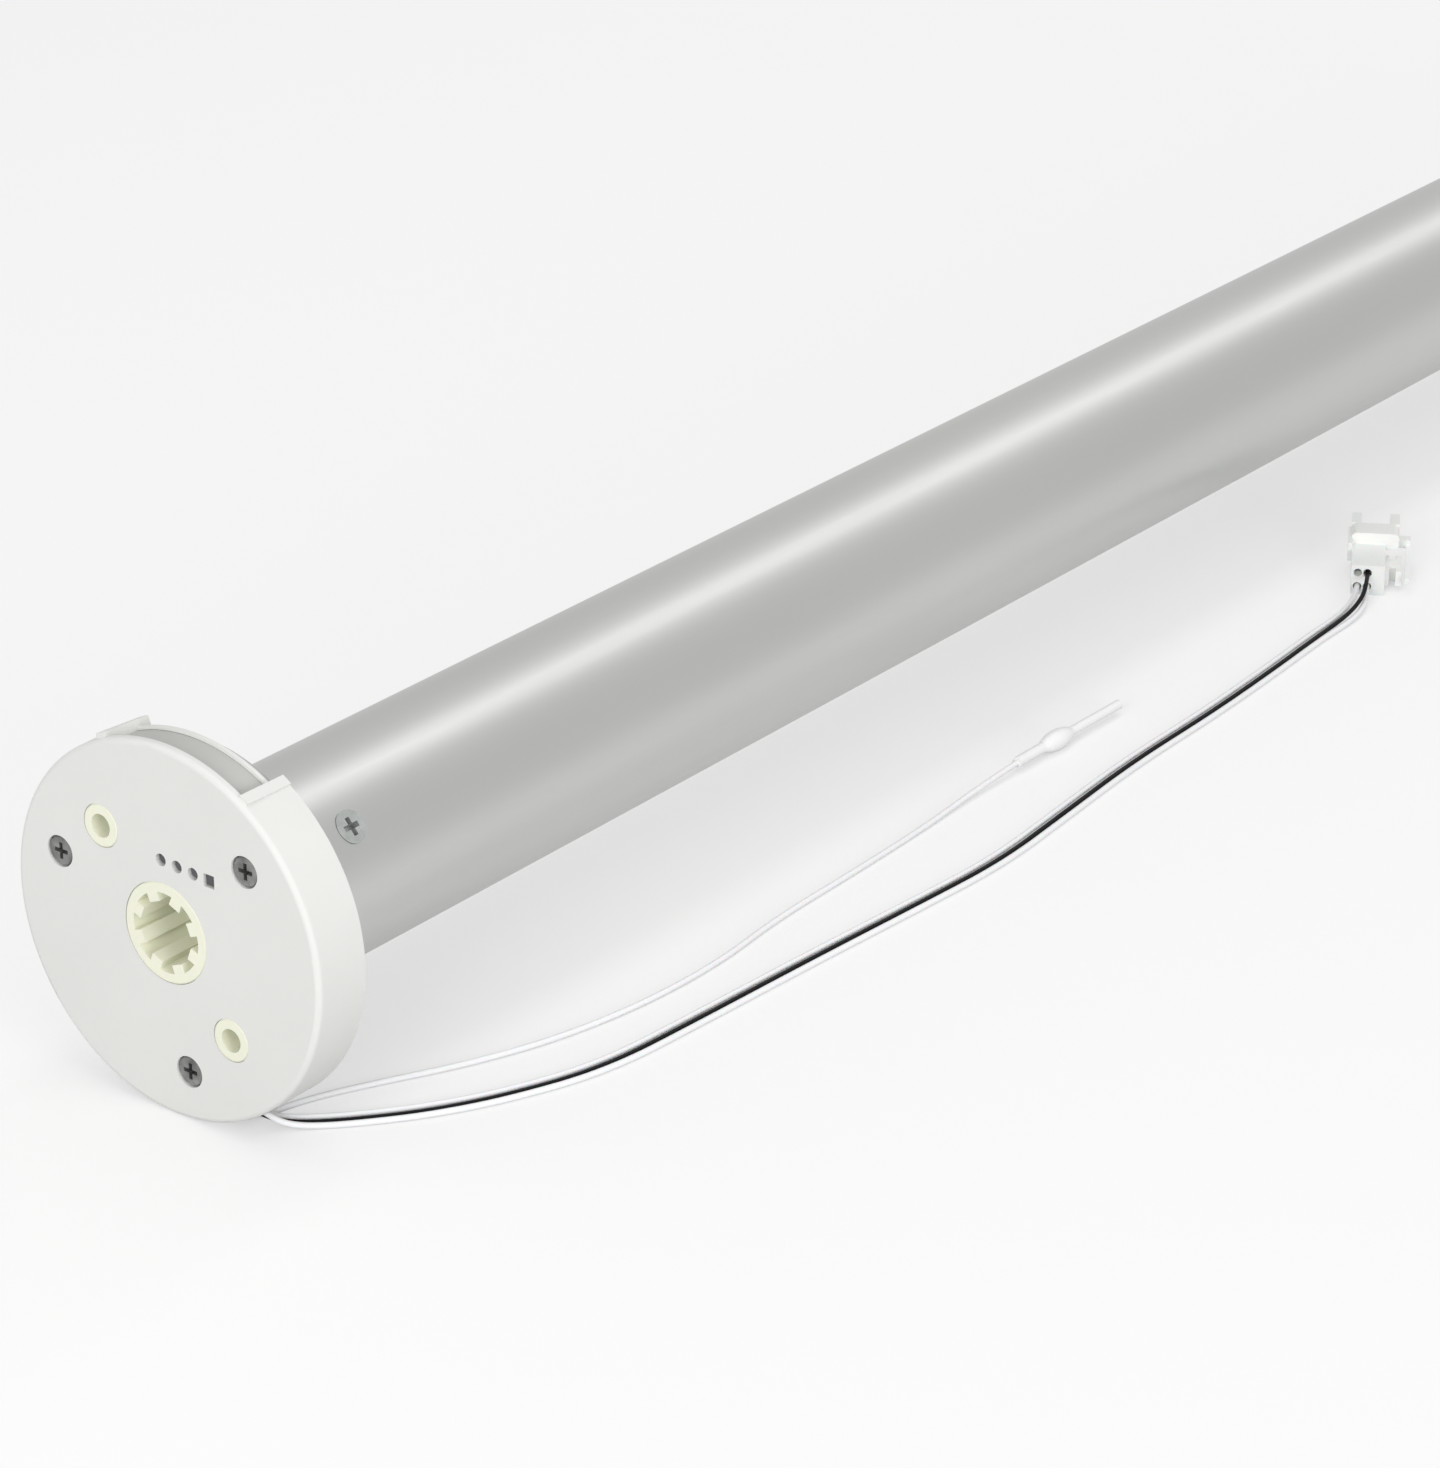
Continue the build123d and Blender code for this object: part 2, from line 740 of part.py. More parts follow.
# Push switches on the head board, one behind each button
with BuildPart() as push_switches:
    with BuildSketch(across(head_board_front)):
        with Locations(*aperture_spots[:button_count]):
            Rectangle(switch_side, switch_side)
    extrude(amount=button_end + button_travel + slide_gap - head_board_front)
push_switches.part.label = "push_switches"
export_step(push_switches.part, "parts/push_switches.step")

# Rubber bush that the wires leave the head through
with BuildPart() as wire_bush:
    with BuildSketch(facing(bush_turn, bush_inner, bush_centre)):
        RectangleRounded(bush_thickness - 2 * slide_gap, bush_width - 2 * slide_gap, bush_corner)
    extrude(amount=bush_outer - bush_inner)
    outward = Axis((0, 0, 0), facing(bush_turn, 0).z_dir)
    fillet(wire_bush.faces().sort_by(outward)[-1].edges(), radius=small_edge)
    with BuildSketch(facing(bush_turn, bush_inner, bush_centre)):
        RectangleRounded(bush_thickness + bush_flange, bush_width + 2 * bush_flange, bush_corner)
    extrude(amount=bush_flange)
wire_bush.part.label = "wire_bush"
export_step(wire_bush.part, "parts/wire_bush.step")

# Wire ends inside the head, from the bush to the head board
with BuildPart() as inner_leads:
    with BuildSketch(facing(bush_turn, inner_lead_end, head_board_front - wire_radius - slide_gap)):
        with GridLocations(inner_lead_pitch, inner_lead_pitch, 1, inner_lead_count):
            Circle(wire_radius)
    extrude(amount=bush_inner - inner_lead_end)
inner_leads.part.label = "inner_leads"
export_step(inner_leads.part, "parts/inner_leads.step")

# Motor tube
with BuildPart() as motor_tube:
    with BuildSketch(across(head_depth)):
        Circle(tube_radius)
        Circle(tube_bore, mode=Mode.SUBTRACT)
    extrude(amount=tube_length)
    chamfer(motor_tube.edges().group_by(Axis.X)[-1], length=small_edge)
    for place in tube_screw_places:
        with Locations(*screw_seats(place)):
            add(tube_screw_seat(), mode=Mode.SUBTRACT)
motor_tube.part.label = "motor_tube"
export_step(motor_tube.part, "parts/motor_tube.step")

# Screws through the tube wall, at the head and at the output end
with BuildPart() as tube_screws:
    for place in tube_screw_places:
        with Locations(*screw_seats(place)):
            add(turned_screw(countersunk_outline(0), tube_screw_head, tube_screw_shank))
tube_screws.part.label = "tube_screws"
export_step(tube_screws.part, "parts/tube_screws.step")

# Carrier of the control board, a half shell under it that is closed at both ends
with BuildPart() as board_carrier:
    with BuildSketch(across(carrier_start)):
        Circle(casing_radius)
    extrude(amount=carrier_length)
    with BuildSketch(across(carrier_start + carrier_rib)):
        Circle(casing_radius - carrier_wall)
    extrude(amount=carrier_length - 2 * carrier_rib, mode=Mode.SUBTRACT)
    with BuildSketch(across(carrier_start)):
        with Locations((0, board_under)):
            Rectangle(2 * casing_radius, 2 * casing_radius, align=(Align.CENTER, Align.MIN))
    extrude(amount=carrier_length, mode=Mode.SUBTRACT)
board_carrier.part.label = "board_carrier"
export_step(board_carrier.part, "parts/board_carrier.step")

# Control board
with BuildPart() as control_board:
    with BuildSketch(Plane.XY.offset(board_under)):
        with Locations((board_start + board_length / 2, 0)):
            RectangleRounded(board_length, board_width, board_corner)
    extrude(amount=board_thickness)
control_board.part.label = "control_board"
export_step(control_board.part, "parts/control_board.step")

# Radio module, a metal can that is open towards the board
with BuildPart() as radio_module:
    radio_long, radio_wide, radio_high = radio_size
    with BuildSketch(Plane.XY.offset(board_top)):
        with Locations((radio_place, 0)):
            Rectangle(radio_long, radio_wide)
    extrude(amount=radio_high)
    fillet(radio_module.edges().filter_by(Axis.Z), radius=radio_wall)
    with BuildSketch(Plane.XY.offset(board_top)):
        with Locations((radio_place, 0)):
            Rectangle(radio_long - 2 * radio_wall, radio_wide - 2 * radio_wall)
    extrude(amount=radio_high - radio_wall, mode=Mode.SUBTRACT)
radio_module.part.label = "radio_module"
export_step(radio_module.part, "parts/radio_module.step")

# Chips on the control board
with BuildPart() as control_chips:
    for place, (chip_long, chip_wide, chip_high) in zip(chip_places, chip_sizes):
        with BuildSketch(Plane.XY.offset(board_top)):
            with Locations((place, 0)):
                Rectangle(chip_long, chip_wide)
        extrude(amount=chip_high)
    chip_tops = control_chips.faces().filter_by(Axis.Z).sort_by(Axis.Z)[len(chip_places):]
    chamfer(chip_tops.edges(), length=small_edge)
control_chips.part.label = "control_chips"
export_step(control_chips.part, "parts/control_chips.step")

# Two capacitors that lie on the control board, each with a groove near its foot
with BuildPart() as capacitors:
    for place in capacitor_places:
        with BuildSketch(across(place - capacitor_length / 2)):
            with Locations((0, board_top + capacitor_radius)):
                Circle(capacitor_radius)
        extrude(amount=capacitor_length)
    fillet(capacitors.edges().filter_by(GeomType.CIRCLE), radius=capacitor_bead)
    for place in capacitor_places:
        with BuildSketch(across(place - capacitor_length / 2 + capacitor_bead_place)):
            with Locations((0, board_top + capacitor_radius)):
                Circle(capacitor_radius)
                Circle(capacitor_radius - capacitor_bead, mode=Mode.SUBTRACT)
        extrude(amount=2 * capacitor_bead, mode=Mode.SUBTRACT)
capacitors.part.label = "capacitors"
export_step(capacitors.part, "parts/capacitors.step")

# Flat cables from the head board and to the encoder board
with BuildPart() as flat_cables:
    cable_level = board_top + flat_cable_thickness
    head_side = head_board_rear + flat_cable_thickness
    with BuildSketch(Plane.XZ):
        with BuildLine():
            FilletPolyline(
                (head_side, flat_cable_top), (head_side, flat_cable_rise),
                (flat_cable_level_end, flat_cable_rise), (flat_cable_landing, cable_level),
                (flat_cable_landing + flat_cable_foot, cable_level), radius=flat_cable_radius,
            )
        trace(line_width=flat_cable_thickness)
    extrude(amount=flat_cable_width / 2, both=True)
    encoder_side = encoder_board_start - flat_cable_thickness
    with BuildSketch(Plane.XZ):
        with BuildLine():
            FilletPolyline(
                (encoder_cable_start, cable_level), (encoder_side, cable_level),
                (encoder_side, encoder_cable_top), radius=flat_cable_radius,
            )
        trace(line_width=flat_cable_thickness)
    extrude(amount=flat_cable_width / 2, both=True)
flat_cables.part.label = "flat_cables"
export_step(flat_cables.part, "parts/flat_cables.step")

# Two wires from the control board to the motor's terminals
with BuildPart() as motor_leads:
    lead_level = board_top + slide_gap + motor_lead_radius
    lead_bend_end = motor_lead_bend + motor_lead_bend_length
    for side in (-1, 1):
        near, far = side * motor_lead_pitch, side * motor_lead_spread
        with BuildLine() as lead_path:
            FilletPolyline(
                (motor_lead_start, near, lead_level), (motor_lead_bend, near, lead_level),
                (lead_bend_end, far, lead_level), (motor_start - slide_gap, far, lead_level),
                radius=motor_lead_arc,
            )
        with BuildSketch(across(motor_lead_start)):
            with Locations((near, lead_level)):
                Circle(motor_lead_radius)
        sweep(path=lead_path.line)
motor_leads.part.label = "motor_leads"
export_step(motor_leads.part, "parts/motor_leads.step")

# Encoder board with its sensor chip, which faces the magnet on the motor shaft
with BuildPart() as encoder_board:
    chip_long, chip_wide, chip_high = encoder_chip
    with BuildSketch(across(encoder_board_start)):
        Circle(encoder_board_radius)
    extrude(amount=encoder_board_thickness)
    with BuildSketch(across(encoder_board_start + encoder_board_thickness)):
        Rectangle(chip_long, chip_wide)
    extrude(amount=chip_high)
encoder_board.part.label = "encoder_board"
export_step(encoder_board.part, "parts/encoder_board.step")

# Encoder magnet on the tail of the motor shaft
with BuildPart() as encoder_magnet:
    with BuildSketch(across(shaft_start)):
        Circle(encoder_magnet_radius)
        Circle(shaft_radius, mode=Mode.SUBTRACT)
    extrude(amount=encoder_magnet_length)
encoder_magnet.part.label = "encoder_magnet"
export_step(encoder_magnet.part, "parts/encoder_magnet.step")

# Rear cap of the motor, with the brush holders inside and the encoder posts outside
with BuildPart() as end_bell:
    with BuildSketch(across(motor_start)):
        Circle(bell_radius)
    extrude(amount=bell_flange)
    chamfer(end_bell.edges().group_by(Axis.X)[0], length=small_edge)
    with BuildSketch(across(can_start)):
        Circle(can_bore - slide_gap)
        Circle(bell_plug_bore, mode=Mode.SUBTRACT)
    extrude(amount=bell_plug_length)
    holder_half = brush_width / 2 + brush_holder_wall
    with BuildSketch(across(can_start)):
        with PolarLocations((brush_holder_start + bell_plug_bore) / 2, 2):
            Rectangle(bell_plug_bore - brush_holder_start + small_edge, 2 * holder_half)
    extrude(amount=brush_x + holder_half - can_start)
    channel_side = brush_width + 2 * slide_gap
    with BuildSketch(across(brush_x - channel_side / 2)):
        Rectangle(2 * brush_channel_end, channel_side)
    extrude(amount=channel_side, mode=Mode.SUBTRACT)
    with BuildSketch(across(motor_start)):
        Circle(shaft_bore)
    extrude(amount=bell_flange, mode=Mode.SUBTRACT)
    with BuildSketch(across(bush_starts[0])):
        Circle(motor_bush_radius)
    extrude(amount=motor_bush_length, mode=Mode.SUBTRACT)
    with BuildSketch(across(motor_start)):
        with PolarLocations(encoder_post_circle, encoder_posts, start_angle=90):
            Circle(encoder_post_radius)
    extrude(amount=-encoder_board_gap)
end_bell.part.label = "end_bell"
export_step(end_bell.part, "parts/end_bell.step")

# Motor can with the nose that holds the front bush
with BuildPart() as motor_can:
    with BuildSketch(across(can_start)):
        Circle(bell_radius)
    extrude(amount=can_length)
    fillet(motor_can.edges().group_by(Axis.X)[-1], radius=can_wall)
    with BuildSketch(across(can_start)):
        Circle(can_bore)
    extrude(amount=can_length - can_wall, mode=Mode.SUBTRACT)
    with BuildSketch(across(can_end - can_wall)):
        Circle(can_nose_radius)
    extrude(amount=can_wall + can_nose_length)
    chamfer(motor_can.edges().group_by(Axis.X)[-1], length=small_edge)
    with BuildSketch(across(can_start)):
        Circle(shaft_bore)
    extrude(amount=can_length + can_nose_length, mode=Mode.SUBTRACT)
    with BuildSketch(across(can_end - can_wall)):
        Circle(motor_bush_radius)
    extrude(amount=can_wall + can_nose_length - motor_bush_lip, mode=Mode.SUBTRACT)
motor_can.part.label = "motor_can"
export_step(motor_can.part, "parts/motor_can.step")

# Two curved magnets that line the can
with BuildPart() as field_magnets:
    for middle in (0, 180):
        with BuildSketch(across(motor_start + magnet_start)):
            add(ring_sector(
                can_bore - magnet_thickness, can_bore - slide_gap,
                middle - magnet_half_angle, middle + magnet_half_angle,
            ))
        extrude(amount=magnet_length)
field_magnets.part.label = "field_magnets"
export_step(field_magnets.part, "parts/field_magnets.step")

# Armature core, a star of poles with a broad shoe on each
pole_turns = [360 * pole / armature_poles for pole in range(armature_poles)]
with BuildPart() as armature_core:
    with BuildSketch(across(core_start)):
        Circle(armature_hub)
        for turn in pole_turns:
            with Locations(Rotation(0, 0, turn)):
                Rectangle(
                    armature_arm_width, armature_radius - armature_shoe / 2,
                    align=(Align.CENTER, Align.MIN),
                )
            add(ring_sector(
                armature_radius - armature_shoe, armature_radius,
                turn - armature_shoe_angle / 2, turn + armature_shoe_angle / 2,
            ))
        Circle(shaft_radius, mode=Mode.SUBTRACT)
    extrude(amount=armature_length)
armature_core.part.label = "armature_core"
export_step(armature_core.part, "parts/armature_core.step")

# One winding round each pole
with BuildPart() as armature_windings:
    winding_side = list(winding_outline)
    mirrored_side = [(-side, high) for side, high in reversed(winding_side)]
    with BuildSketch(across(core_start - winding_overhang)):
        for turn in pole_turns:
            with Locations(Rotation(0, 0, turn)):
                Polygon(*winding_side, *mirrored_side, align=None)
    extrude(amount=armature_length + 2 * winding_overhang)
    with BuildSketch(across(core_start - slide_gap)):
        for turn in pole_turns:
            with Locations(Rotation(0, 0, turn)):
                Rectangle(
                    armature_arm_width + 2 * slide_gap, armature_radius,
                    align=(Align.CENTER, Align.MIN),
                )
    extrude(amount=armature_length + 2 * slide_gap, mode=Mode.SUBTRACT)
armature_windings.part.label = "armature_windings"
export_step(armature_windings.part, "parts/armature_windings.step")

# Commutator
with BuildPart() as commutator:
    with BuildSketch(across(motor_start + commutator_start)):
        Circle(commutator_radius)
        for turn in pole_turns:
            with Locations(Rotation(0, 0, turn)):
                with Locations((0, commutator_radius)):
                    Rectangle(commutator_slot, 2 * commutator_slot_depth, mode=Mode.SUBTRACT)
        Circle(shaft_radius, mode=Mode.SUBTRACT)
    extrude(amount=commutator_length)
commutator.part.label = "commutator"
export_step(commutator.part, "parts/commutator.step")

# Two brushes beside the commutator
with BuildPart() as brushes:
    with BuildSketch(across(brush_x - brush_width / 2)):
        with PolarLocations(brush_tip + brush_length / 2, 2):
            Rectangle(brush_length, brush_width)
    extrude(amount=brush_width)
brushes.part.label = "brushes"
export_step(brushes.part, "parts/brushes.step")

# Two plain bushes that carry the motor shaft
with BuildPart() as motor_bushes:
    for start in bush_starts:
        with BuildSketch(across(start)):
            Circle(motor_bush_radius)
            Circle(shaft_radius + running_gap, mode=Mode.SUBTRACT)
        extrude(amount=motor_bush_length)
motor_bushes.part.label = "motor_bushes"
export_step(motor_bushes.part, "parts/motor_bushes.step")

# Motor shaft, from the encoder magnet to the end of the first sun gear
first_sun_end = stages[0][0] + planet_widths[0] + sun_overrun_share * axial_gap
with BuildPart() as rotor_shaft:
    with BuildSketch(across(shaft_start)):
        Circle(shaft_radius)
    extrude(amount=first_sun_end - shaft_start)
    chamfer(rotor_shaft.edges().filter_by(GeomType.CIRCLE), length=small_edge)
rotor_shaft.part.label = "rotor_shaft"
export_step(rotor_shaft.part, "parts/rotor_shaft.step")

# Two rubber rings between the motor can and the tube
with BuildPart() as motor_dampers:
    for place in damper_places:
        with BuildSketch(across(motor_start + place)):
            Circle(tube_bore - slide_gap)
            Circle(bell_radius + slide_gap, mode=Mode.SUBTRACT)
        extrude(amount=damper_width)
motor_dampers.part.label = "motor_dampers"
export_step(motor_dampers.part, "parts/motor_dampers.step")

# Brake magnet on the motor shaft
with BuildPart() as brake_magnet:
    with BuildSketch(across(brake_ring_start + brake_magnet_inset)):
        Circle(brake_magnet_radius)
        Circle(shaft_radius, mode=Mode.SUBTRACT)
    extrude(amount=brake_magnet_length)
    chamfer(brake_magnet.edges().filter_by(
        lambda edge: edge.geom_type == GeomType.CIRCLE and edge.radius > shaft_radius
    ), length=small_edge)
brake_magnet.part.label = "brake_magnet"
export_step(brake_magnet.part, "parts/brake_magnet.step")

# Brake ring round the brake magnet
with BuildPart() as brake_ring:
    with BuildSketch(across(brake_ring_start)):
        Circle(brake_ring_outer)
        Circle(brake_ring_inner, mode=Mode.SUBTRACT)
        with PolarLocations(brake_ring_inner, brake_ring_slots):
            Rectangle(2 * brake_slot_depth, brake_slot_width, mode=Mode.SUBTRACT)
    extrude(amount=brake_ring_length)
brake_ring.part.label = "brake_ring"
export_step(brake_ring.part, "parts/brake_ring.step")


def key_lugs(inner, outer, play):
    """The outlines of the lugs that lock two casings, widened by a play angle on each side."""
    with BuildSketch() as lugs:
        for place in range(lug_count):
            middle = 360 * place / lug_count
            half = lug_half_angle + play
            add(ring_sector(inner, outer, middle - half, middle + half))
    return lugs.sketch


# Adapter between the motor and the gearbox, the housing of the brake
with BuildPart() as gearbox_adapter:
    with BuildSketch(across(can_end)):
        Circle(casing_radius)
        Circle(can_nose_radius + slide_gap, mode=Mode.SUBTRACT)
    extrude(amount=adapter_length)
    with BuildSketch(across(nose_end)):
        Circle(brake_ring_shoulder)
    extrude(amount=adapter_length, mode=Mode.SUBTRACT)
    with BuildSketch(across(brake_ring_start)):
        Circle(brake_ring_outer + slide_gap)
    extrude(amount=adapter_length, mode=Mode.SUBTRACT)
    with BuildSketch(across(adapter_end)):
        add(key_lugs(disc_radius, casing_radius + overrun, lug_play_angle))
    extrude(amount=-lug_length - loose_gap, mode=Mode.SUBTRACT)
gearbox_adapter.part.label = "gearbox_adapter"
export_step(gearbox_adapter.part, "parts/gearbox_adapter.step")

# Gearbox case with the ring gear cut inside it
with BuildPart() as gearbox_case:
    with BuildSketch(across(adapter_end)):
        Circle(casing_radius)
    extrude(amount=case_end - adapter_end)
    with BuildSketch(across(adapter_end)):
        add(key_lugs(lug_radius, casing_radius, 0))
    extrude(amount=-lug_length)
    with BuildSketch(across(gear_start)):
        add(gear_outline(ring_teeth, dedendum, addendum, flank_gap, 180 / ring_teeth))
    extrude(amount=case_end - gear_start, mode=Mode.SUBTRACT)
    with BuildSketch(across(adapter_end)):
        Circle(sun_hole)
    extrude(amount=gear_rear_plate, mode=Mode.SUBTRACT)
    with BuildSketch(across(case_end)):
        add(key_lugs(disc_radius, casing_radius + overrun, lug_play_angle))
    extrude(amount=-lug_length - loose_gap, mode=Mode.SUBTRACT)
gearbox_case.part.label = "gearbox_case"
export_step(gearbox_case.part, "parts/gearbox_case.step")

# First sun gear, on the motor shaft
with BuildPart() as sun_gear:
    with BuildSketch(across(adapter_end + axial_gap)):
        add(outside_gear(sun_teeth, 0))
        Circle(shaft_radius, mode=Mode.SUBTRACT)
    extrude(amount=first_sun_end - adapter_end - axial_gap)
sun_gear.part.label = "sun_gear"
export_step(sun_gear.part, "parts/sun_gear.step")

# Planet gears, three in each stage
for stage, (planet_start, disc_start, disc_end) in enumerate(stages):
    for place, letter in enumerate("abc"):
        with BuildPart() as planet:
            with BuildSketch(across(planet_start)):
                with PolarLocations(orbit_radius, 1, start_angle=360 * place / planets_per_stage):
                    add(outside_gear(planet_teeth, 180 / planet_teeth))
                    Circle(pin_radius + running_gap, mode=Mode.SUBTRACT)
            extrude(amount=planet_widths[stage])
        planet_name = f"planet_{stage + 1}{letter}"
        planet.part.label = planet_name
        export_step(planet.part, f"parts/{planet_name}.step")


def disc_with_pins(stage):
    """The disc of a planet carrier with the pins that its planets turn on."""
    planet_start, disc_start, disc_end = stages[stage]
    with BuildPart() as disc:
        with BuildSketch(across(disc_start)):
            Circle(disc_radius)
        extrude(amount=disc_end - disc_start)
        with BuildSketch(across(planet_start)):
            with PolarLocations(orbit_radius, planets_per_stage):
                Circle(pin_radius)
        extrude(amount=disc_start - planet_start)
    return disc.part


# Planet carriers of the first two stages, each with the sun gear of the next stage
for stage in (0, 1):
    with BuildPart() as carrier:
        add(disc_with_pins(stage))
        with BuildSketch(across(stages[stage][2])):
            add(outside_gear(sun_teeth, 0))
        extrude(amount=(1 + sun_overrun_share) * axial_gap + planet_widths[stage + 1])
    carrier_name = f"carrier_{stage + 1}"
    carrier.part.label = carrier_name
    export_step(carrier.part, f"parts/{carrier_name}.step")

# Output shaft with the last planet carrier, a groove for its clip and a six-sided end
with BuildPart() as output_shaft:
    add(disc_with_pins(2))
    with BuildSketch(across(stages[2][2])):
        Circle(output_radius)
    extrude(amount=hex_start - stages[2][2])
    with BuildSketch(across(hex_start)):
        RegularPolygon(radius=output_hex / 2, side_count=6, major_radius=False)
    extrude(amount=output_hex_length)
    chamfer(output_shaft.edges().group_by(Axis.X)[-1], length=groove_depth)
    with BuildSketch(across(clip_start - slide_gap)):
        Circle(output_radius + small_edge)
        Circle(output_radius - groove_depth, mode=Mode.SUBTRACT)
    extrude(amount=clip_width + 2 * slide_gap, mode=Mode.SUBTRACT)
output_shaft.part.label = "output_shaft"
export_step(output_shaft.part, "parts/output_shaft.step")

# End block that closes the tube and carries the output shaft
with BuildPart() as end_block:
    with BuildSketch(across(case_end)):
        Circle(casing_radius)
    extrude(amount=tube_end - case_end)
    with BuildSketch(across(tube_end)):
        Circle(tube_radius)
    extrude(amount=end_flange)
    chamfer(end_block.edges().group_by(Axis.X)[-1], length=small_edge)
    with BuildSketch(across(case_end)):
        add(key_lugs(lug_radius, casing_radius, 0))
    extrude(amount=-lug_length)
    with BuildSketch(across(case_end)):
        Circle(end_block_bore)
    extrude(amount=end_face - case_end, mode=Mode.SUBTRACT)
    with BuildSketch(across(case_end)):
        Circle(output_bush_radius)
    extrude(amount=output_bush_inset + output_bush_width, mode=Mode.SUBTRACT)
    with BuildSketch(across(end_face)):
        Circle(output_bush_radius)
    extrude(amount=-output_bush_width, mode=Mode.SUBTRACT)
    with Locations(*screw_seats(tube_screw_places[1])):
        add(tube_screw_seat(), mode=Mode.SUBTRACT)
end_block.part.label = "end_block"
export_step(end_block.part, "parts/end_block.step")

# Two plain bushes that carry the output shaft
with BuildPart() as output_bushes:
    for start in output_bush_starts:
        with BuildSketch(across(start)):
            Circle(output_bush_radius)
            Circle(output_radius + running_gap, mode=Mode.SUBTRACT)
        extrude(amount=output_bush_width)
    chamfer(output_bushes.edges().group_by(Axis.X)[-1], length=small_edge)
output_bushes.part.label = "output_bushes"
export_step(output_bushes.part, "parts/output_bushes.step")

# Clip in the groove of the output shaft
with BuildPart() as shaft_clip:
    with BuildSketch(across(clip_start)):
        Circle(clip_outer)
        Circle(output_radius - groove_depth + slide_gap, mode=Mode.SUBTRACT)
        Rectangle(clip_gap_width, clip_outer, align=(Align.CENTER, Align.MIN), mode=Mode.SUBTRACT)
    extrude(amount=clip_width)
shaft_clip.part.label = "shaft_clip"
export_step(shaft_clip.part, "parts/shaft_clip.step")


def route_points(route, radius):
    """The corners of a free wire in space."""
    return [Vector(x, y, floor + wire_rest + radius + lift) for x, y, lift in route]


def bend_radii(points):
    """The radius at each corner of a route, a share of the shorter run that meets there."""
    radii = []
    for before, corner, after in zip(points, points[1:], points[2:]):
        arriving = corner - before
        leaving = after - corner
        half_turn = math.radians(arriving.get_angle(leaving)) / 2
        shorter = min(arriving.length, leaving.length)
        radii.append(arc_share * shorter / math.tan(half_turn))
    return radii


# The three wires of the power lead and the antenna wire. The black one is thinner
free_wires = {
    "black_wire": (black_route, black_wire_radius),
    "inner_white_wire": (inner_white_route, wire_radius),
    "outer_white_wire": (outer_white_route, wire_radius),
    "antenna_wire": (antenna_route, wire_radius),
}
for name, (route, sheath_radius) in free_wires.items():
    corners = route_points(route, sheath_radius)
    radii = bend_radii(corners)
    with BuildPart() as free_wire:
        with BuildLine() as wire_path:
            FilletPolyline(*corners, radius=radii)
        with BuildSketch(Plane(origin=corners[0], z_dir=corners[1] - corners[0])):
            Circle(sheath_radius)
        sweep(path=wire_path.line)
    free_wire.part.label = name
    export_step(free_wire.part, f"parts/{name}.step")
    length = wire_path.wire().length
    filled = free_wire.part.volume / (math.pi * sheath_radius ** 2 * length)
    print(name, "length", round(length, 1), "volume over section times length", round(filled, 4))
    print("  radii", [round(radius, 1) for radius in radii])

# End sleeve of the antenna, with a bead in its middle
heading = math.radians(sleeve_heading)
sleeve_x, sleeve_y = sleeve_place
sleeve_frame = Plane(
    origin=(sleeve_x, sleeve_y, floor + wire_rest + sleeve_bead_radius),
    x_dir=(math.cos(heading), math.sin(heading), 0), z_dir=(math.sin(heading), -math.cos(heading), 0),
)
with BuildPart() as antenna_sleeve:
    bead_end = sleeve_neck + sleeve_bead_length
    bead_top = sleeve_neck + sleeve_bead_top_share * sleeve_bead_length
    with BuildSketch(sleeve_frame):
        with BuildLine():
            ThreePointArc(
                (sleeve_neck, sleeve_radius), (bead_top, sleeve_bead_radius),
                (bead_end, sleeve_tip_radius),
            )
            Polyline(
                (bead_end, sleeve_tip_radius), (sleeve_length, sleeve_tip_radius),
                (sleeve_length, 0), (0, 0), (0, sleeve_radius), (sleeve_neck, sleeve_radius),
            )
        make_face()
    revolve(axis=Axis(sleeve_frame.origin, sleeve_frame.x_dir))
antenna_sleeve.part.label = "antenna_sleeve"
export_step(antenna_sleeve.part, "parts/antenna_sleeve.step")

# The connector's own directions
forward = Vector(1, 0).rotate(Axis.Z, connector_heading)
leftward = Vector(0, 1).rotate(Axis.Z, connector_heading)
connector_foot = Vector(*connector_place, floor)


def connector_slice(distance):
    """The plane square to the connector at a distance from its rear face. Its axes are left and up."""
    return Plane(origin=connector_foot + forward * distance, x_dir=leftward, z_dir=forward)


def connector_block(back, front, right, left, low, high):
    """A block between limits in the connector's own directions."""
    with BuildPart() as block:
        with BuildSketch(connector_slice(back)):
            with Locations(((left + right) / 2, (low + high) / 2)):
                Rectangle(left - right, high - low)
        extrude(amount=front - back)
    return block.part


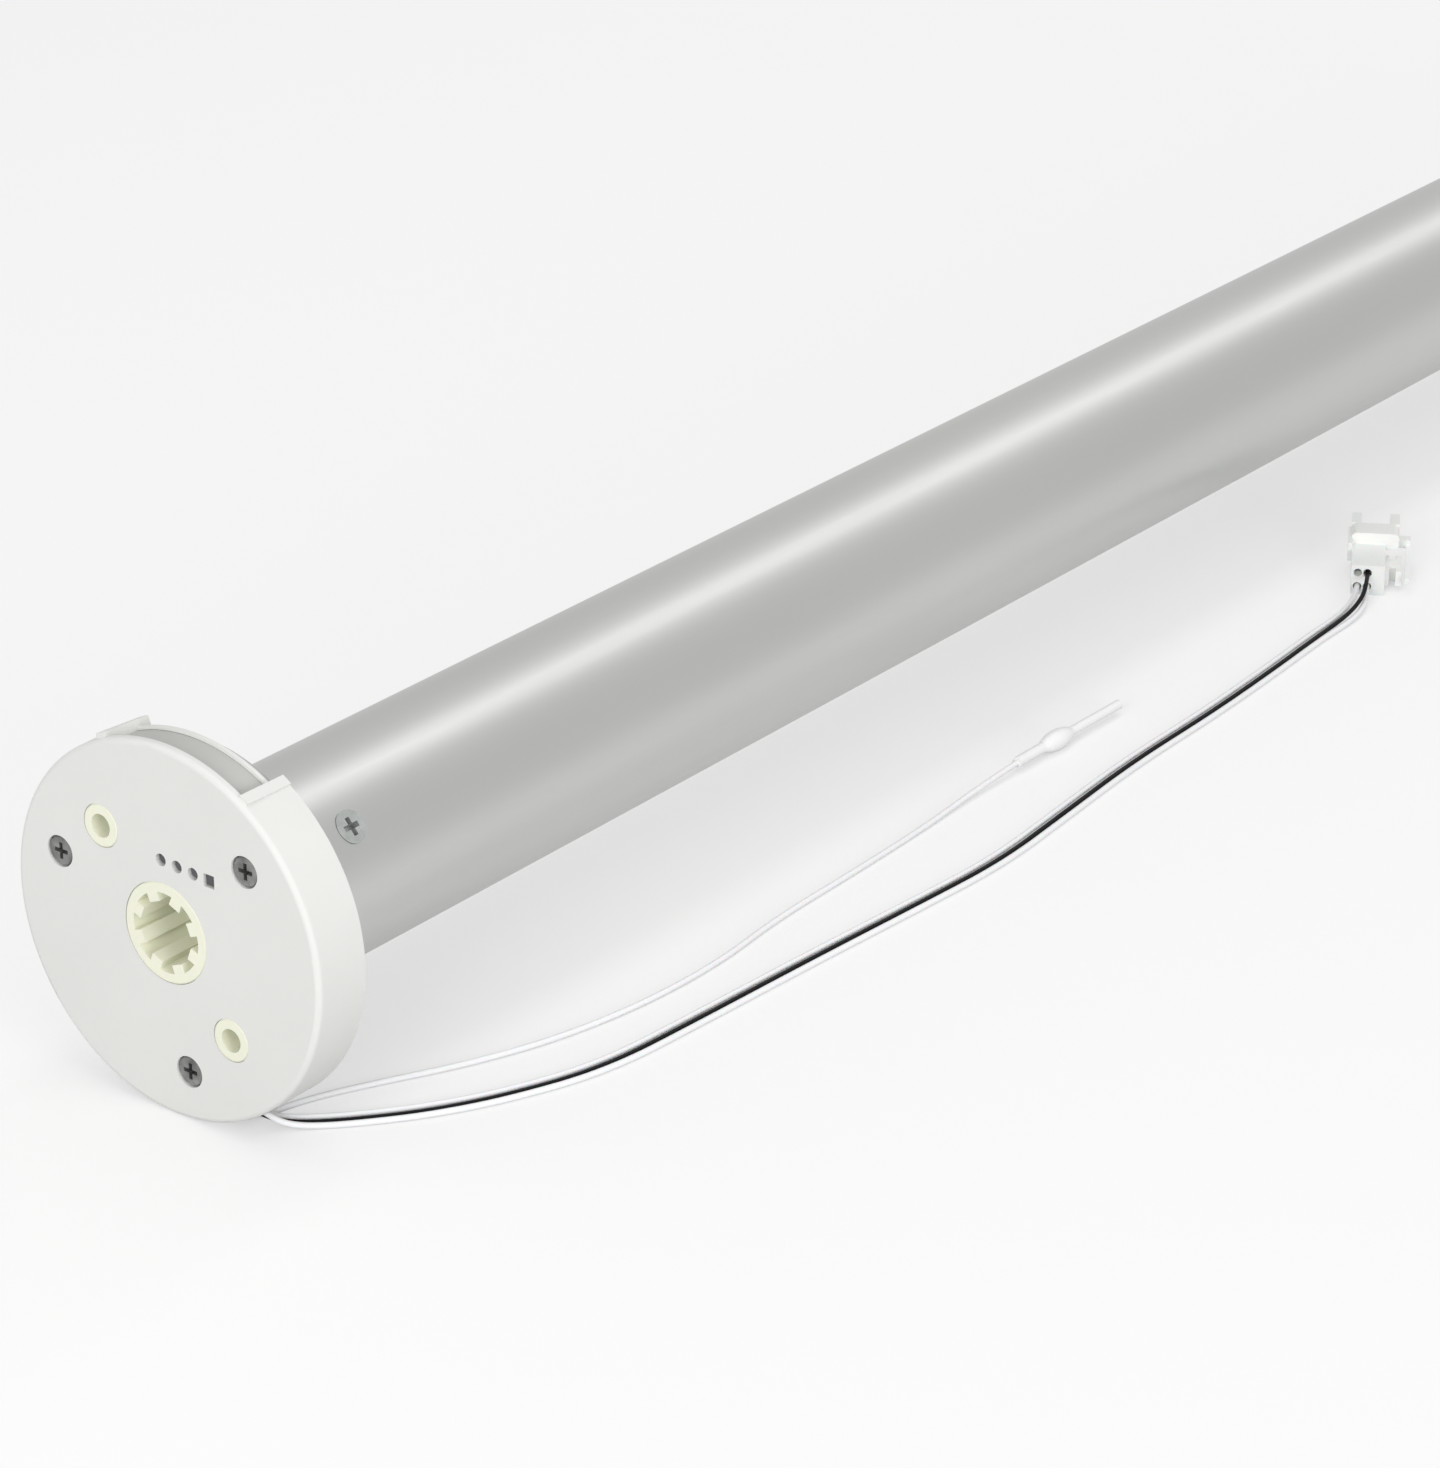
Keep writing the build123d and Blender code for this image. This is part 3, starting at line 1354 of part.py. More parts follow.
# Lead connector
used_holes = [(-hole_left, hole_high), (hole_left, hole_low), (-hole_left, hole_low)]
all_holes = used_holes + [(hole_left, hole_high)]
lever_side = Plane(origin=connector_foot + leftward * lever_left, x_dir=forward, z_dir=-leftward)
with BuildPart() as connector_housing:
    add(connector_block(0, body_length, body_right, body_left, 0, body_height))
    with BuildSketch(connector_slice(hood_start)):
        with Locations(((hood_left + hood_right) / 2, (hood_low + hood_height) / 2)):
            RectangleRounded(hood_left - hood_right, hood_height - hood_low, hood_corner)
    extrude(amount=body_length - hood_start)
    add(connector_block(rail_start, body_length, body_left, rail_left, rail_low, rail_high))
    for right, left in ((hood_right, hood_right + prong_width), (hood_left - prong_width, hood_left)):
        add(connector_block(
            body_length, body_length + prong_length, right, left, hood_height - prong_height, hood_height,
        ))
    add(connector_block(fin_start, fin_end, rib_right, body_right, fin_low, fin_high))
    add(connector_block(fin_start, fin_end, fin_right, fin_left, fin_low, fin_high))
    add(connector_block(fin_web_start, fin_web_end, fin_left, rib_right, fin_low, fin_high))
    with BuildSketch(lever_side):
        with BuildLine():
            Polyline(*lever_under, *lever_over, close=True)
        make_face()
    extrude(amount=lever_left - lever_right)
    add(connector_block(
        lever_web_start, body_length, lever_right, lever_web_left, lever_web_low, lever_web_high,
    ))
    with BuildSketch(connector_slice(0)):
        with Locations(*all_holes):
            Circle(hole_radius)
    extrude(amount=hole_depth, mode=Mode.SUBTRACT)
    with BuildSketch(connector_slice(hole_depth)):
        with Locations(*all_holes):
            Rectangle(contact_side + 2 * slide_gap, contact_side + 2 * slide_gap)
    extrude(amount=body_length - hole_depth, mode=Mode.SUBTRACT)
connector_housing.part.label = "connector_housing"
export_step(connector_housing.part, "parts/connector_housing.step")

# Contacts in the three wired places of the connector
with BuildPart() as connector_contacts:
    with BuildSketch(connector_slice(hole_depth + slide_gap)):
        with Locations(*used_holes):
            Rectangle(contact_side, contact_side)
    extrude(amount=contact_length)
connector_contacts.part.label = "connector_contacts"
export_step(connector_contacts.part, "parts/connector_contacts.step")
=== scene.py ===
# %% [markdown]
# # A tubular roller blind motor
# This motor hides inside the roller of a blind and turns it. Its wide head stays
# still on the wall bracket, and a geared shaft at the far end turns the roller.
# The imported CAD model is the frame: every solid already sits in its place, so this
# lesson is about finishes, free wires, light and the camera.

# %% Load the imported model
import bpy
import math
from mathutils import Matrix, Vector


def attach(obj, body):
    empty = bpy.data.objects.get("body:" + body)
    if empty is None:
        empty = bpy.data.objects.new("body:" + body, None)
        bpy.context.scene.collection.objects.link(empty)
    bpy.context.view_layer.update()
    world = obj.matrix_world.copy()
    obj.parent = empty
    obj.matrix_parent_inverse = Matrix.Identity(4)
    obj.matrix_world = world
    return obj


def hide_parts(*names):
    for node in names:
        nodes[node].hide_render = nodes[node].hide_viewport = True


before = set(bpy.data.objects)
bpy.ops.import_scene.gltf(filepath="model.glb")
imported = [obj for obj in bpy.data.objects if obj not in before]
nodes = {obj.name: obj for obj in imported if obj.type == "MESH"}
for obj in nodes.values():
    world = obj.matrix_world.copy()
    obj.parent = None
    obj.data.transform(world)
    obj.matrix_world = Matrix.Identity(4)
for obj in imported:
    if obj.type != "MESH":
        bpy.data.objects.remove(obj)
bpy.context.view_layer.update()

scene = bpy.context.scene

# %% [markdown]
# ## Where the camera stands
# The photograph looks at the head from its left and a little from above, with a long
# lens. A long lens keeps the tube's edges nearly parallel. The camera is placed by its
# two angles and by where the head's centre falls in the picture.

# %% The camera
azimuth = math.radians(-51.88)
elevation = math.radians(24.95)
head_distance = 0.6915
head_offset = (-0.07317, -0.0263)
lens_length = 128.47
long_side = 36.0
near_clip = 0.01
far_clip = 20

right = Vector((math.cos(azimuth), math.sin(azimuth), 0))
back = Vector((math.sin(azimuth) * math.cos(elevation), -math.cos(azimuth) * math.cos(elevation),
               math.sin(elevation)))
upward = back.cross(right)
camera_data = bpy.data.cameras.new("photo_camera")
camera_data.lens = lens_length
camera_data.sensor_width = long_side
camera_data.clip_start = near_clip
camera_data.clip_end = far_clip
camera = bpy.data.objects.new("photo_camera", camera_data)
camera.rotation_euler = (math.pi / 2 - elevation, 0, azimuth)
camera.location = back * head_distance - right * head_offset[0] - upward * head_offset[1]
scene.collection.objects.link(camera)
scene.camera = camera
print("camera at", [round(value, 4) for value in camera.location])

# %% [markdown]
# ## A small kit for finishes
# A real surface is never one flat colour. Each finish here starts from the shader's own
# plain values, and noise then varies the colour a little and roughens the surface.
# Object coordinates are used because every solid keeps its place in metres, so one
# number means one real size on every piece.

# %% Helpers that build a finish
# Noise rarely leaves the span between these two values
noise_low = 0.3
noise_high = 0.7


def start_finish(name, metallic=0.0, roughness=0.5, **sockets):
    """A new material with its shader, and the sockets that are the same all over."""
    material = bpy.data.materials.new(name)
    material.use_nodes = True
    tree = material.node_tree
    shader = tree.nodes["Principled BSDF"]
    shader.inputs["Metallic"].default_value = metallic
    shader.inputs["Roughness"].default_value = roughness
    for socket, value in sockets.items():
        shader.inputs[socket.replace("_", " ")].default_value = value
    return material, tree, shader


def pattern(tree, kind, scale, stretch=(1, 1, 1), **sockets):
    """A texture in metres. The stretch squeezes it along X, Y and Z."""
    place = tree.nodes.new("ShaderNodeTexCoord")
    mapping = tree.nodes.new("ShaderNodeMapping")
    mapping.inputs["Scale"].default_value = stretch
    texture = tree.nodes.new(kind)
    texture.inputs["Scale"].default_value = scale
    for socket, value in sockets.items():
        texture.inputs[socket.replace("_", " ")].default_value = value
    tree.links.new(place.outputs["Object"], mapping.inputs["Vector"])
    tree.links.new(mapping.outputs["Vector"], texture.inputs["Vector"])
    return texture


def vary_colour(tree, shader, texture, low, high, start=noise_low, end=noise_high):
    """Mixes two colours by a texture."""
    ramp = tree.nodes.new("ShaderNodeValToRGB")
    ramp.color_ramp.elements[0].position = start
    ramp.color_ramp.elements[1].position = end
    ramp.color_ramp.elements[0].color = (*low, 1)
    ramp.color_ramp.elements[1].color = (*high, 1)
    tree.links.new(texture.outputs[0], ramp.inputs["Fac"])
    tree.links.new(ramp.outputs["Color"], shader.inputs["Base Color"])


def vary_roughness(tree, shader, texture, low, high):
    """Lets a texture move the roughness between two values."""
    spread = tree.nodes.new("ShaderNodeMapRange")
    spread.inputs["From Min"].default_value = noise_low
    spread.inputs["From Max"].default_value = noise_high
    spread.inputs["To Min"].default_value = low
    spread.inputs["To Max"].default_value = high
    tree.links.new(texture.outputs[0], spread.inputs["Value"])
    tree.links.new(spread.outputs["Result"], shader.inputs["Roughness"])


def raise_surface(tree, shader, texture, height):
    """Bump from a texture, with its height in metres."""
    bump = tree.nodes.new("ShaderNodeBump")
    bump.inputs["Strength"].default_value = 1
    bump.inputs["Distance"].default_value = height
    tree.links.new(texture.outputs[0], bump.inputs["Height"])
    tree.links.new(bump.outputs["Normal"], shader.inputs["Normal"])


def dress(material, *names):
    """Gives a finish to CAD nodes."""
    for name in names:
        slots = nodes[name].data.materials
        if not slots:
            slots.append(material)
        for index in range(len(slots)):
            slots[index] = material


print("helpers ready")

# %% [markdown]
# ## Moulded plastic
# The cover, the drum behind it and the bracket socket are injection moulded. Such
# plastic copies the fine spark-eroded texture of its mould, and its colour drifts a
# little from the gate outward. A fine noise makes the texture, and a broad one makes
# the drift.

# %% Moulded plastics
# Scales of the broad drift of colour and of the patches of gloss
drift_scale = 45
gloss_scale = 160
gloss_less = 0.05
gloss_more = 0.07


def moulded(name, colour, drift=0.03, roughness=0.45, grain=0.00002, grain_scale=2600,
            **sockets):
    """A moulded plastic with a fine grain and a slight drift of colour."""
    material, tree, shader = start_finish(name, roughness=roughness, **sockets)
    broad = pattern(tree, "ShaderNodeTexNoise", drift_scale, Detail=3)
    darker = [channel * (1 - drift) for channel in colour]
    vary_colour(tree, shader, broad, darker, colour)
    gloss = pattern(tree, "ShaderNodeTexNoise", gloss_scale, Detail=2)
    vary_roughness(tree, shader, gloss, roughness - gloss_less, roughness + gloss_more)
    fine = pattern(tree, "ShaderNodeTexNoise", grain_scale, Detail=2)
    raise_surface(tree, shader, fine, grain)
    return material


cover_plastic = moulded("cover_plastic", (0.825, 0.825, 0.805), grain=0.000012)
housing_plastic = moulded("housing_plastic", (0.54, 0.54, 0.522), grain=0.00002)
cream_plastic = moulded("cream_plastic", (0.94, 0.945, 0.78), roughness=0.38, grain=0.000008,
                        Subsurface_Weight=0.06, Subsurface_Scale=0.0015)
button_plastic = moulded("button_plastic", (0.10, 0.10, 0.11), roughness=0.5)
carrier_plastic = moulded("carrier_plastic", (0.035, 0.035, 0.04), drift=0.15, roughness=0.5)
case_plastic = moulded("case_plastic", (0.045, 0.045, 0.05), drift=0.25, roughness=0.42)
bell_plastic = moulded("bell_plastic", (0.03, 0.03, 0.035), drift=0.2, roughness=0.4)
gear_plastic = moulded("gear_plastic", (0.82, 0.80, 0.72), roughness=0.33, grain=0.000004)
chip_plastic = moulded("chip_plastic", (0.02, 0.02, 0.022), drift=0.3, roughness=0.6,
                       grain_scale=6000)
connector_nylon = moulded("connector_nylon", (0.93, 0.94, 0.92), roughness=0.36, grain=0.000005,
                          Subsurface_Weight=0.15, Subsurface_Scale=0.0015)
sleeve_plastic = moulded("sleeve_plastic", (0.95, 0.95, 0.95), roughness=0.3, grain=0.000004)
dress(cover_plastic, "head_cover")
dress(housing_plastic, "head_housing")
dress(cream_plastic, "bracket_socket")
dress(button_plastic, "up_button", "program_button", "down_button")
dress(carrier_plastic, "board_carrier")
dress(case_plastic, "gearbox_case", "gearbox_adapter")
dress(bell_plastic, "end_bell")
dress(gear_plastic, "planet_1a", "planet_1b", "planet_1c", "carrier_1")
dress(chip_plastic, "control_chips")
dress(connector_nylon, "connector_housing")
dress(sleeve_plastic, "antenna_sleeve")
print("moulded plastics:", 11)

# %% [markdown]
# ## The anodised tube
# The tube is extruded aluminium with a satin anodised skin. Extrusion leaves very faint
# lines along the tube, and the anodising makes the highlight soft. Noise that is
# stretched a long way along X draws those lines in both roughness and height.

# %% Anodised aluminium
# How far the noise is drawn out along X, the scale of its clouds and the swing in gloss
line_stretch = (0.012, 1, 1)
cloud_stretch = (0.3, 1, 1)
cloud_scale = 30
drawn_swing = 0.02


def drawn_metal(name, colour, darker, roughness, line_height, lines=2200):
    """A metal whose surface was drawn or ground along X."""
    material, tree, shader = start_finish(name, metallic=1.0, roughness=roughness)
    along = pattern(tree, "ShaderNodeTexNoise", lines, stretch=line_stretch, Detail=2)
    cloud = pattern(tree, "ShaderNodeTexNoise", cloud_scale, stretch=cloud_stretch, Detail=4)
    vary_colour(tree, shader, cloud, darker, colour)
    vary_roughness(tree, shader, along, roughness - drawn_swing, roughness + drawn_swing)
    raise_surface(tree, shader, along, line_height)
    return material


anodised_tube = drawn_metal("anodised_tube", (0.738, 0.745, 0.73), (0.71, 0.717, 0.705),
                            0.4, 0.0000012)
end_block_metal = moulded("end_block_metal", (0.55, 0.55, 0.55), roughness=0.5, grain=0.00003,
                          grain_scale=1500, Metallic=1.0)
dress(anodised_tube, "motor_tube")
dress(end_block_metal, "end_block")
print("tube finished")

# %% [markdown]
# ## Steel, tin and bronze
# Turned parts such as shafts and screws carry fine rings round their axis, while
# sintered steel and bronze are full of pores. The rings come from noise that is
# squeezed along X, and the pores come from a cell texture. The same fine rings stand
# for the slight unevenness of plated metal on contacts, switches and the radio shield.

# %% Metals
# The turned rings, the patches of wear (on the cover screws also painted glints) and the pores
ring_stretch = (1, 0.02, 0.02)
ring_height = 0.000003
ring_smooth = 0.07
ring_rough = 0.1
wear_and_glint_scale = 400
pore_shade = 0.45
pore_edge = 0.05
pore_end = 0.35
pore_depth = 0.00002


def turned_metal(name, colour, roughness, rings=3000, metallic=1.0, wear_and_glint=0.85):
    """A turned metal with rings round X."""
    material, tree, shader = start_finish(name, metallic=metallic, roughness=roughness)
    ring = pattern(tree, "ShaderNodeTexNoise", rings, stretch=ring_stretch, Detail=2)
    cloud = pattern(tree, "ShaderNodeTexNoise", wear_and_glint_scale, Detail=3)
    darker = [channel * wear_and_glint for channel in colour]
    vary_colour(tree, shader, cloud, darker, colour)
    vary_roughness(tree, shader, ring, roughness - ring_smooth, roughness + ring_rough)
    raise_surface(tree, shader, ring, ring_height)
    return material


def porous_metal(name, colour, roughness, cells):
    """A sintered metal with small dark pores."""
    material, tree, shader = start_finish(name, metallic=1.0, roughness=roughness)
    pores = pattern(tree, "ShaderNodeTexVoronoi", cells)
    darker = [channel * pore_shade for channel in colour]
    vary_colour(tree, shader, pores, darker, colour, pore_edge, pore_end)
    raise_surface(tree, shader, pores, pore_depth)
    return material


# The cover screws' strong light and dark mottle is painted glints and reflections as well as wear
dark_steel = turned_metal("dark_steel", (0.36, 0.36, 0.355), 0.27, metallic=0.6, wear_and_glint=0.35)
bright_steel = turned_metal("bright_steel", (0.64, 0.67, 0.655), 0.28, metallic=0.6, wear_and_glint=0.75)
shaft_steel = turned_metal("shaft_steel", (0.72, 0.72, 0.72), 0.22)
motor_steel = turned_metal("motor_steel", (0.62, 0.62, 0.6), 0.3, rings=1200)
gear_steel = porous_metal("gear_steel", (0.5, 0.49, 0.47), 0.42, 3500)
bush_bronze = porous_metal("bush_bronze", (0.62, 0.42, 0.2), 0.45, 3000)
contact_tin = turned_metal("contact_tin", (0.72, 0.69, 0.6), 0.3)
switch_metal = turned_metal("switch_metal", (0.74, 0.74, 0.72), 0.32)
dress(dark_steel, "cover_screws")
dress(bright_steel, "tube_screws", "shaft_clip")
dress(shaft_steel, "rotor_shaft")
dress(motor_steel, "motor_can")
dress(gear_steel, "sun_gear", "planet_2a", "planet_2b", "planet_2c", "planet_3a", "planet_3b",
      "planet_3c", "carrier_2", "output_shaft")
dress(bush_bronze, "motor_bushes", "output_bushes")
dress(contact_tin, "connector_contacts")
dress(switch_metal, "push_switches", "radio_module")
print("metals:", 8)

# %% [markdown]
# ## The parts inside the motor
# Magnets are sintered ferrite, dark and matt. The armature is a stack of thin steel
# sheets, so a wave along X draws the edge of every sheet, and a wave of another size
# draws the turns of enamelled copper wire.

# %% Magnets, sheets and windings
# The metres from band to band in a wave texture of scale one
band_at_scale_one = 0.3142
band_start = 0.1
band_end = 0.6


def banded(name, colour, darker, band, direction, metallic, roughness, height):
    """A surface with fine even bands of a given width in metres across a direction."""
    material, tree, shader = start_finish(name, metallic=metallic, roughness=roughness)
    waves = pattern(tree, "ShaderNodeTexWave", band_at_scale_one / band, Distortion=0.3, Detail=1)
    waves.bands_direction = direction
    vary_colour(tree, shader, waves, darker, colour, band_start, band_end)
    raise_surface(tree, shader, waves, height)
    return material


ferrite = moulded("ferrite", (0.055, 0.052, 0.055), drift=0.3, roughness=0.62, grain=0.00003)
core_steel = banded("core_steel", (0.42, 0.42, 0.43), (0.16, 0.16, 0.17), 0.0005, "X",
                    1.0, 0.45, 0.00003)
copper = banded("copper", (0.72, 0.33, 0.14), (0.35, 0.12, 0.04), 0.00035, "Y",
                1.0, 0.3, 0.00008)
carbon = moulded("carbon", (0.03, 0.03, 0.03), drift=0.4, roughness=0.7, grain=0.00003)
dress(ferrite, "field_magnets", "encoder_magnet", "brake_magnet")
dress(core_steel, "armature_core", "brake_ring")
dress(copper, "armature_windings", "commutator")
dress(carbon, "brushes")
print("motor finishes:", 4)

# %% [markdown]
# ## Circuit boards and small parts on them
# A board is green because its solder mask is a thin clear green film over copper.
# Where copper runs below, the green is lighter. A brick texture gives straight runs
# that read as tracks, and it also lifts the surface a little.

# %% Boards, film and sleeves
# Two greens between the tracks, the lighter one over them, and the tracks' size
mask_dark = (0.012, 0.11, 0.045, 1)
mask_middle = (0.016, 0.13, 0.055, 1)
mask_over_copper = (0.05, 0.26, 0.12, 1)
track_scale = 260
track_stretch = (0.4, 1, 1)
track_width = 0.03
track_height = 0.00003


def mask_green(name):
    """Solder mask over straight copper runs."""
    material, tree, shader = start_finish(name, roughness=0.28, Coat_Weight=0.3, Coat_Roughness=0.2)
    tracks = pattern(tree, "ShaderNodeTexBrick", track_scale, stretch=track_stretch,
                     Mortar_Size=track_width)
    tracks.inputs["Color1"].default_value = mask_dark
    tracks.inputs["Color2"].default_value = mask_middle
    tracks.inputs["Mortar"].default_value = mask_over_copper
    tree.links.new(tracks.outputs["Color"], shader.inputs["Base Color"])
    bump = tree.nodes.new("ShaderNodeBump")
    bump.inputs["Distance"].default_value = track_height
    tree.links.new(tracks.outputs["Fac"], bump.inputs["Height"])
    tree.links.new(bump.outputs["Normal"], shader.inputs["Normal"])
    return material


circuit_board = mask_green("circuit_board")
capacitor_sleeve = moulded("capacitor_sleeve", (0.03, 0.035, 0.07), drift=0.2, roughness=0.25)
flat_cable_film = banded("flat_cable_film", (0.72, 0.36, 0.09), (0.42, 0.17, 0.03), 0.001, "Y",
                         0.0, 0.25, 0.00002)
light_plastic = moulded("light_plastic", (0.06, 0.06, 0.065), drift=0.1, roughness=0.15,
                        grain=0.000002, Coat_Weight=0.5)
dress(circuit_board, "head_board", "control_board", "encoder_board")
dress(capacitor_sleeve, "capacitors")
dress(flat_cable_film, "flat_cables")
dress(light_plastic, "status_light")
print("board finishes:", 4)

# %% [markdown]
# ## Rubber and wire sheaths
# The bush and the rings round the motor are black rubber. The free wires are thin and
# soft, with a smooth sheath that has a low gloss.

# %% Rubber and sheaths
soft_rubber = moulded("soft_rubber", (0.025, 0.025, 0.025), drift=0.3, roughness=0.65,
                      grain=0.00003)
white_sheath = moulded("lead_sheath", (0.93, 0.935, 0.95), roughness=0.32, grain=0.000004,
                       Subsurface_Weight=0.1, Subsurface_Scale=0.0005)
black_sheath = moulded("black_sheath", (0.006, 0.006, 0.008), drift=0.2, roughness=0.5,
                       grain=0.000004, Specular_IOR_Level=0.25)
red_sheath = moulded("motor_lead_sheath", (0.5, 0.02, 0.015), drift=0.15, roughness=0.32,
                     grain=0.000004)
dress(soft_rubber, "wire_bush", "motor_dampers")
dress(white_sheath, "inner_leads")
dress(red_sheath, "motor_leads")
print("sheaths:", 4)

# %% [markdown]
# ## The free wires
# Three thin wires make the power lead: white, black and white, side by side on the
# surface up to a small connector. A fourth white wire is the antenna. A NURBS curve
# with a round bevel is the natural way to draw a wire, because its points act as
# gentle pulls and never leave a kink. The points are the CAD route's own points, in
# millimetres here and turned into metres where the curve is made.

# %% Routes of the wires
wire_radius = 0.00045
black_wire_radius = 0.00036
surface = -0.02725
wire_rest = 0.00002
millimetres_per_metre = 1000
bevel_steps = 5
curve_steps = 10
curve_order = 3
black_route = [
    (4.0, -11.34, 2.22), (5.2, -12.5, 1.13), (6.9, -14.3, 0.28), (9.6, -17.0, 0),
    (14.0, -21.1, 0), (20.9, -26.6, 0), (30.5, -32.1, 0), (45.0, -37.6, 0),
    (64.0, -38.9, 0), (88.0, -40.3, 0), (110.0, -41.9, 0), (129.5, -43.2, 0),
    (149.0, -41.4, 0), (170.0, -39.4, 0), (193.0, -38.9, 0), (213.0, -37.6, 0),
    (228.0, -36.3, 0), (237.5, -36.2, 0.5), (242.8, -35.9, 1.9), (246.97, -34.08, 3.38),
    (249.89, -32.33, 3.38),
]
inner_white_route = [
    (4.0, -10.29, 1.75), (5.9, -11.6, 0.85), (7.9, -13.35, 0.2), (10.5, -16.05, 0),
    (14.85, -20.15, 0), (21.6, -25.5, 0), (31.0, -31.0, 0), (45.3, -36.4, 0),
    (64.1, -37.7, 0), (88.1, -39.1, 0), (110.1, -40.7, 0), (129.5, -42.0, 0),
    (148.9, -40.2, 0), (169.9, -38.2, 0), (192.9, -37.7, 0), (212.9, -36.4, 0),
    (227.8, -35.1, 0), (237.2, -34.8, 0.1), (241.9, -34.1, 0.5), (246.16, -32.69, 0.98),
    (249.08, -30.94, 0.98),
]
outer_white_route = [
    (4.0, -12.39, 2.7), (4.75, -13.6, 1.45), (6.3, -15.4, 0.4), (8.85, -18.0, 0),
    (13.2, -22.05, 0), (20.2, -27.6, 0), (30.0, -33.2, 0), (44.7, -38.75, 0),
    (63.9, -40.1, 0), (87.9, -41.5, 0), (109.9, -43.1, 0), (129.5, -44.4, 0),
    (149.1, -42.6, 0), (170.1, -40.6, 0), (193.1, -40.1, 0), (213.1, -38.8, 0),
    (228.1, -37.5, 0), (237.6, -37.4, 0.05), (242.9, -36.2, 0.45), (246.98, -34.07, 0.98),
    (249.9, -32.32, 0.98),
]
antenna_route = [
    (4.0, -9.24, 1.28), (5.3, -9.85, 0.58), (7.3, -10.6, 0.08), (10.6, -11.0, 0),
    (16.0, -12.9, 0), (23.5, -16.6, 0), (34.0, -22.2, 0), (47.0, -27.2, 0),
    (62.5, -30.2, 0), (79.0, -30.8, 0), (95.0, -28.9, 0), (114.0, -28.6, 0),
    (133.0, -27.9, 0), (147.8, -26.9, 0.5), (159.5, -27.02, 1.15),
]
print("route points:", len(black_route), len(antenna_route))

# %% Draw the wires
def wire_point(spot, radius):
    """A route's spot in metres, for a wire of this radius that lies on the surface."""
    x, y, lift = spot
    height = surface + wire_rest + radius + lift / millimetres_per_metre
    return (x / millimetres_per_metre, y / millimetres_per_metre, height)


def free_wire(name, node, route, radius, material):
    """A round wire along a smooth curve, in place of its CAD node."""
    curve = bpy.data.curves.new(name, "CURVE")
    curve.dimensions = "3D"
    curve.bevel_depth = radius
    curve.bevel_resolution = bevel_steps
    curve.use_fill_caps = True
    curve.resolution_u = curve_steps
    spline = curve.splines.new("NURBS")
    spline.points.add(len(route) - 1)
    for point, spot in zip(spline.points, route):
        point.co = (*wire_point(spot, radius), 1)
    spline.order_u = curve_order
    spline.use_endpoint_u = True
    curve.materials.append(material)
    piece = bpy.data.objects.new(name, curve)
    scene.collection.objects.link(piece)
    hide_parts(node)
    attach(piece, "motor")
    return piece


black_lead = free_wire("black_lead", "black_wire", black_route, black_wire_radius,
                       black_sheath)
inner_lead = free_wire("inner_white_lead", "inner_white_wire", inner_white_route, wire_radius,
                       white_sheath)
outer_lead = free_wire("outer_white_lead", "outer_white_wire", outer_white_route, wire_radius,
                       white_sheath)
antenna = free_wire("antenna_lead", "antenna_wire", antenna_route, wire_radius,
                    white_sheath)
print("wires:", 4)

# %% [markdown]
# ## Floor and light
# The photograph is a studio shot on a pale surface. A long soft lamp above gives the
# tube its highlight. Two smaller lamps light the head and the side, and they are
# hidden from reflections, so they leave no hot spot on the tube. A broad pale sky
# fills the rest. The floor and the sky are shown to the camera a little brighter than
# they light the object, so pale plastic keeps its shading.

# %% The floor
floor_mesh = bpy.data.meshes.new("floor")
floor_half = 6.0
floor_mesh.from_pydata(
    [(-floor_half, -floor_half, surface), (floor_half, -floor_half, surface),
     (floor_half, floor_half, surface), (-floor_half, floor_half, surface)],
    [], [(0, 1, 2, 3)],
)
floor = bpy.data.objects.new("floor", floor_mesh)
scene.collection.objects.link(floor)
floor_white = 0.55
floor_lift = 0.445
floor_mirrored = 0.30
floor_finish, floor_tree, floor_shader = start_finish("floor_paper", roughness=1.0)
floor_shader.inputs["Base Color"].default_value = (floor_white, floor_white, floor_white, 1)
floor_shader.inputs["Specular IOR Level"].default_value = 0
floor_shader.inputs["Emission Color"].default_value = (1, 1, 1, 1)


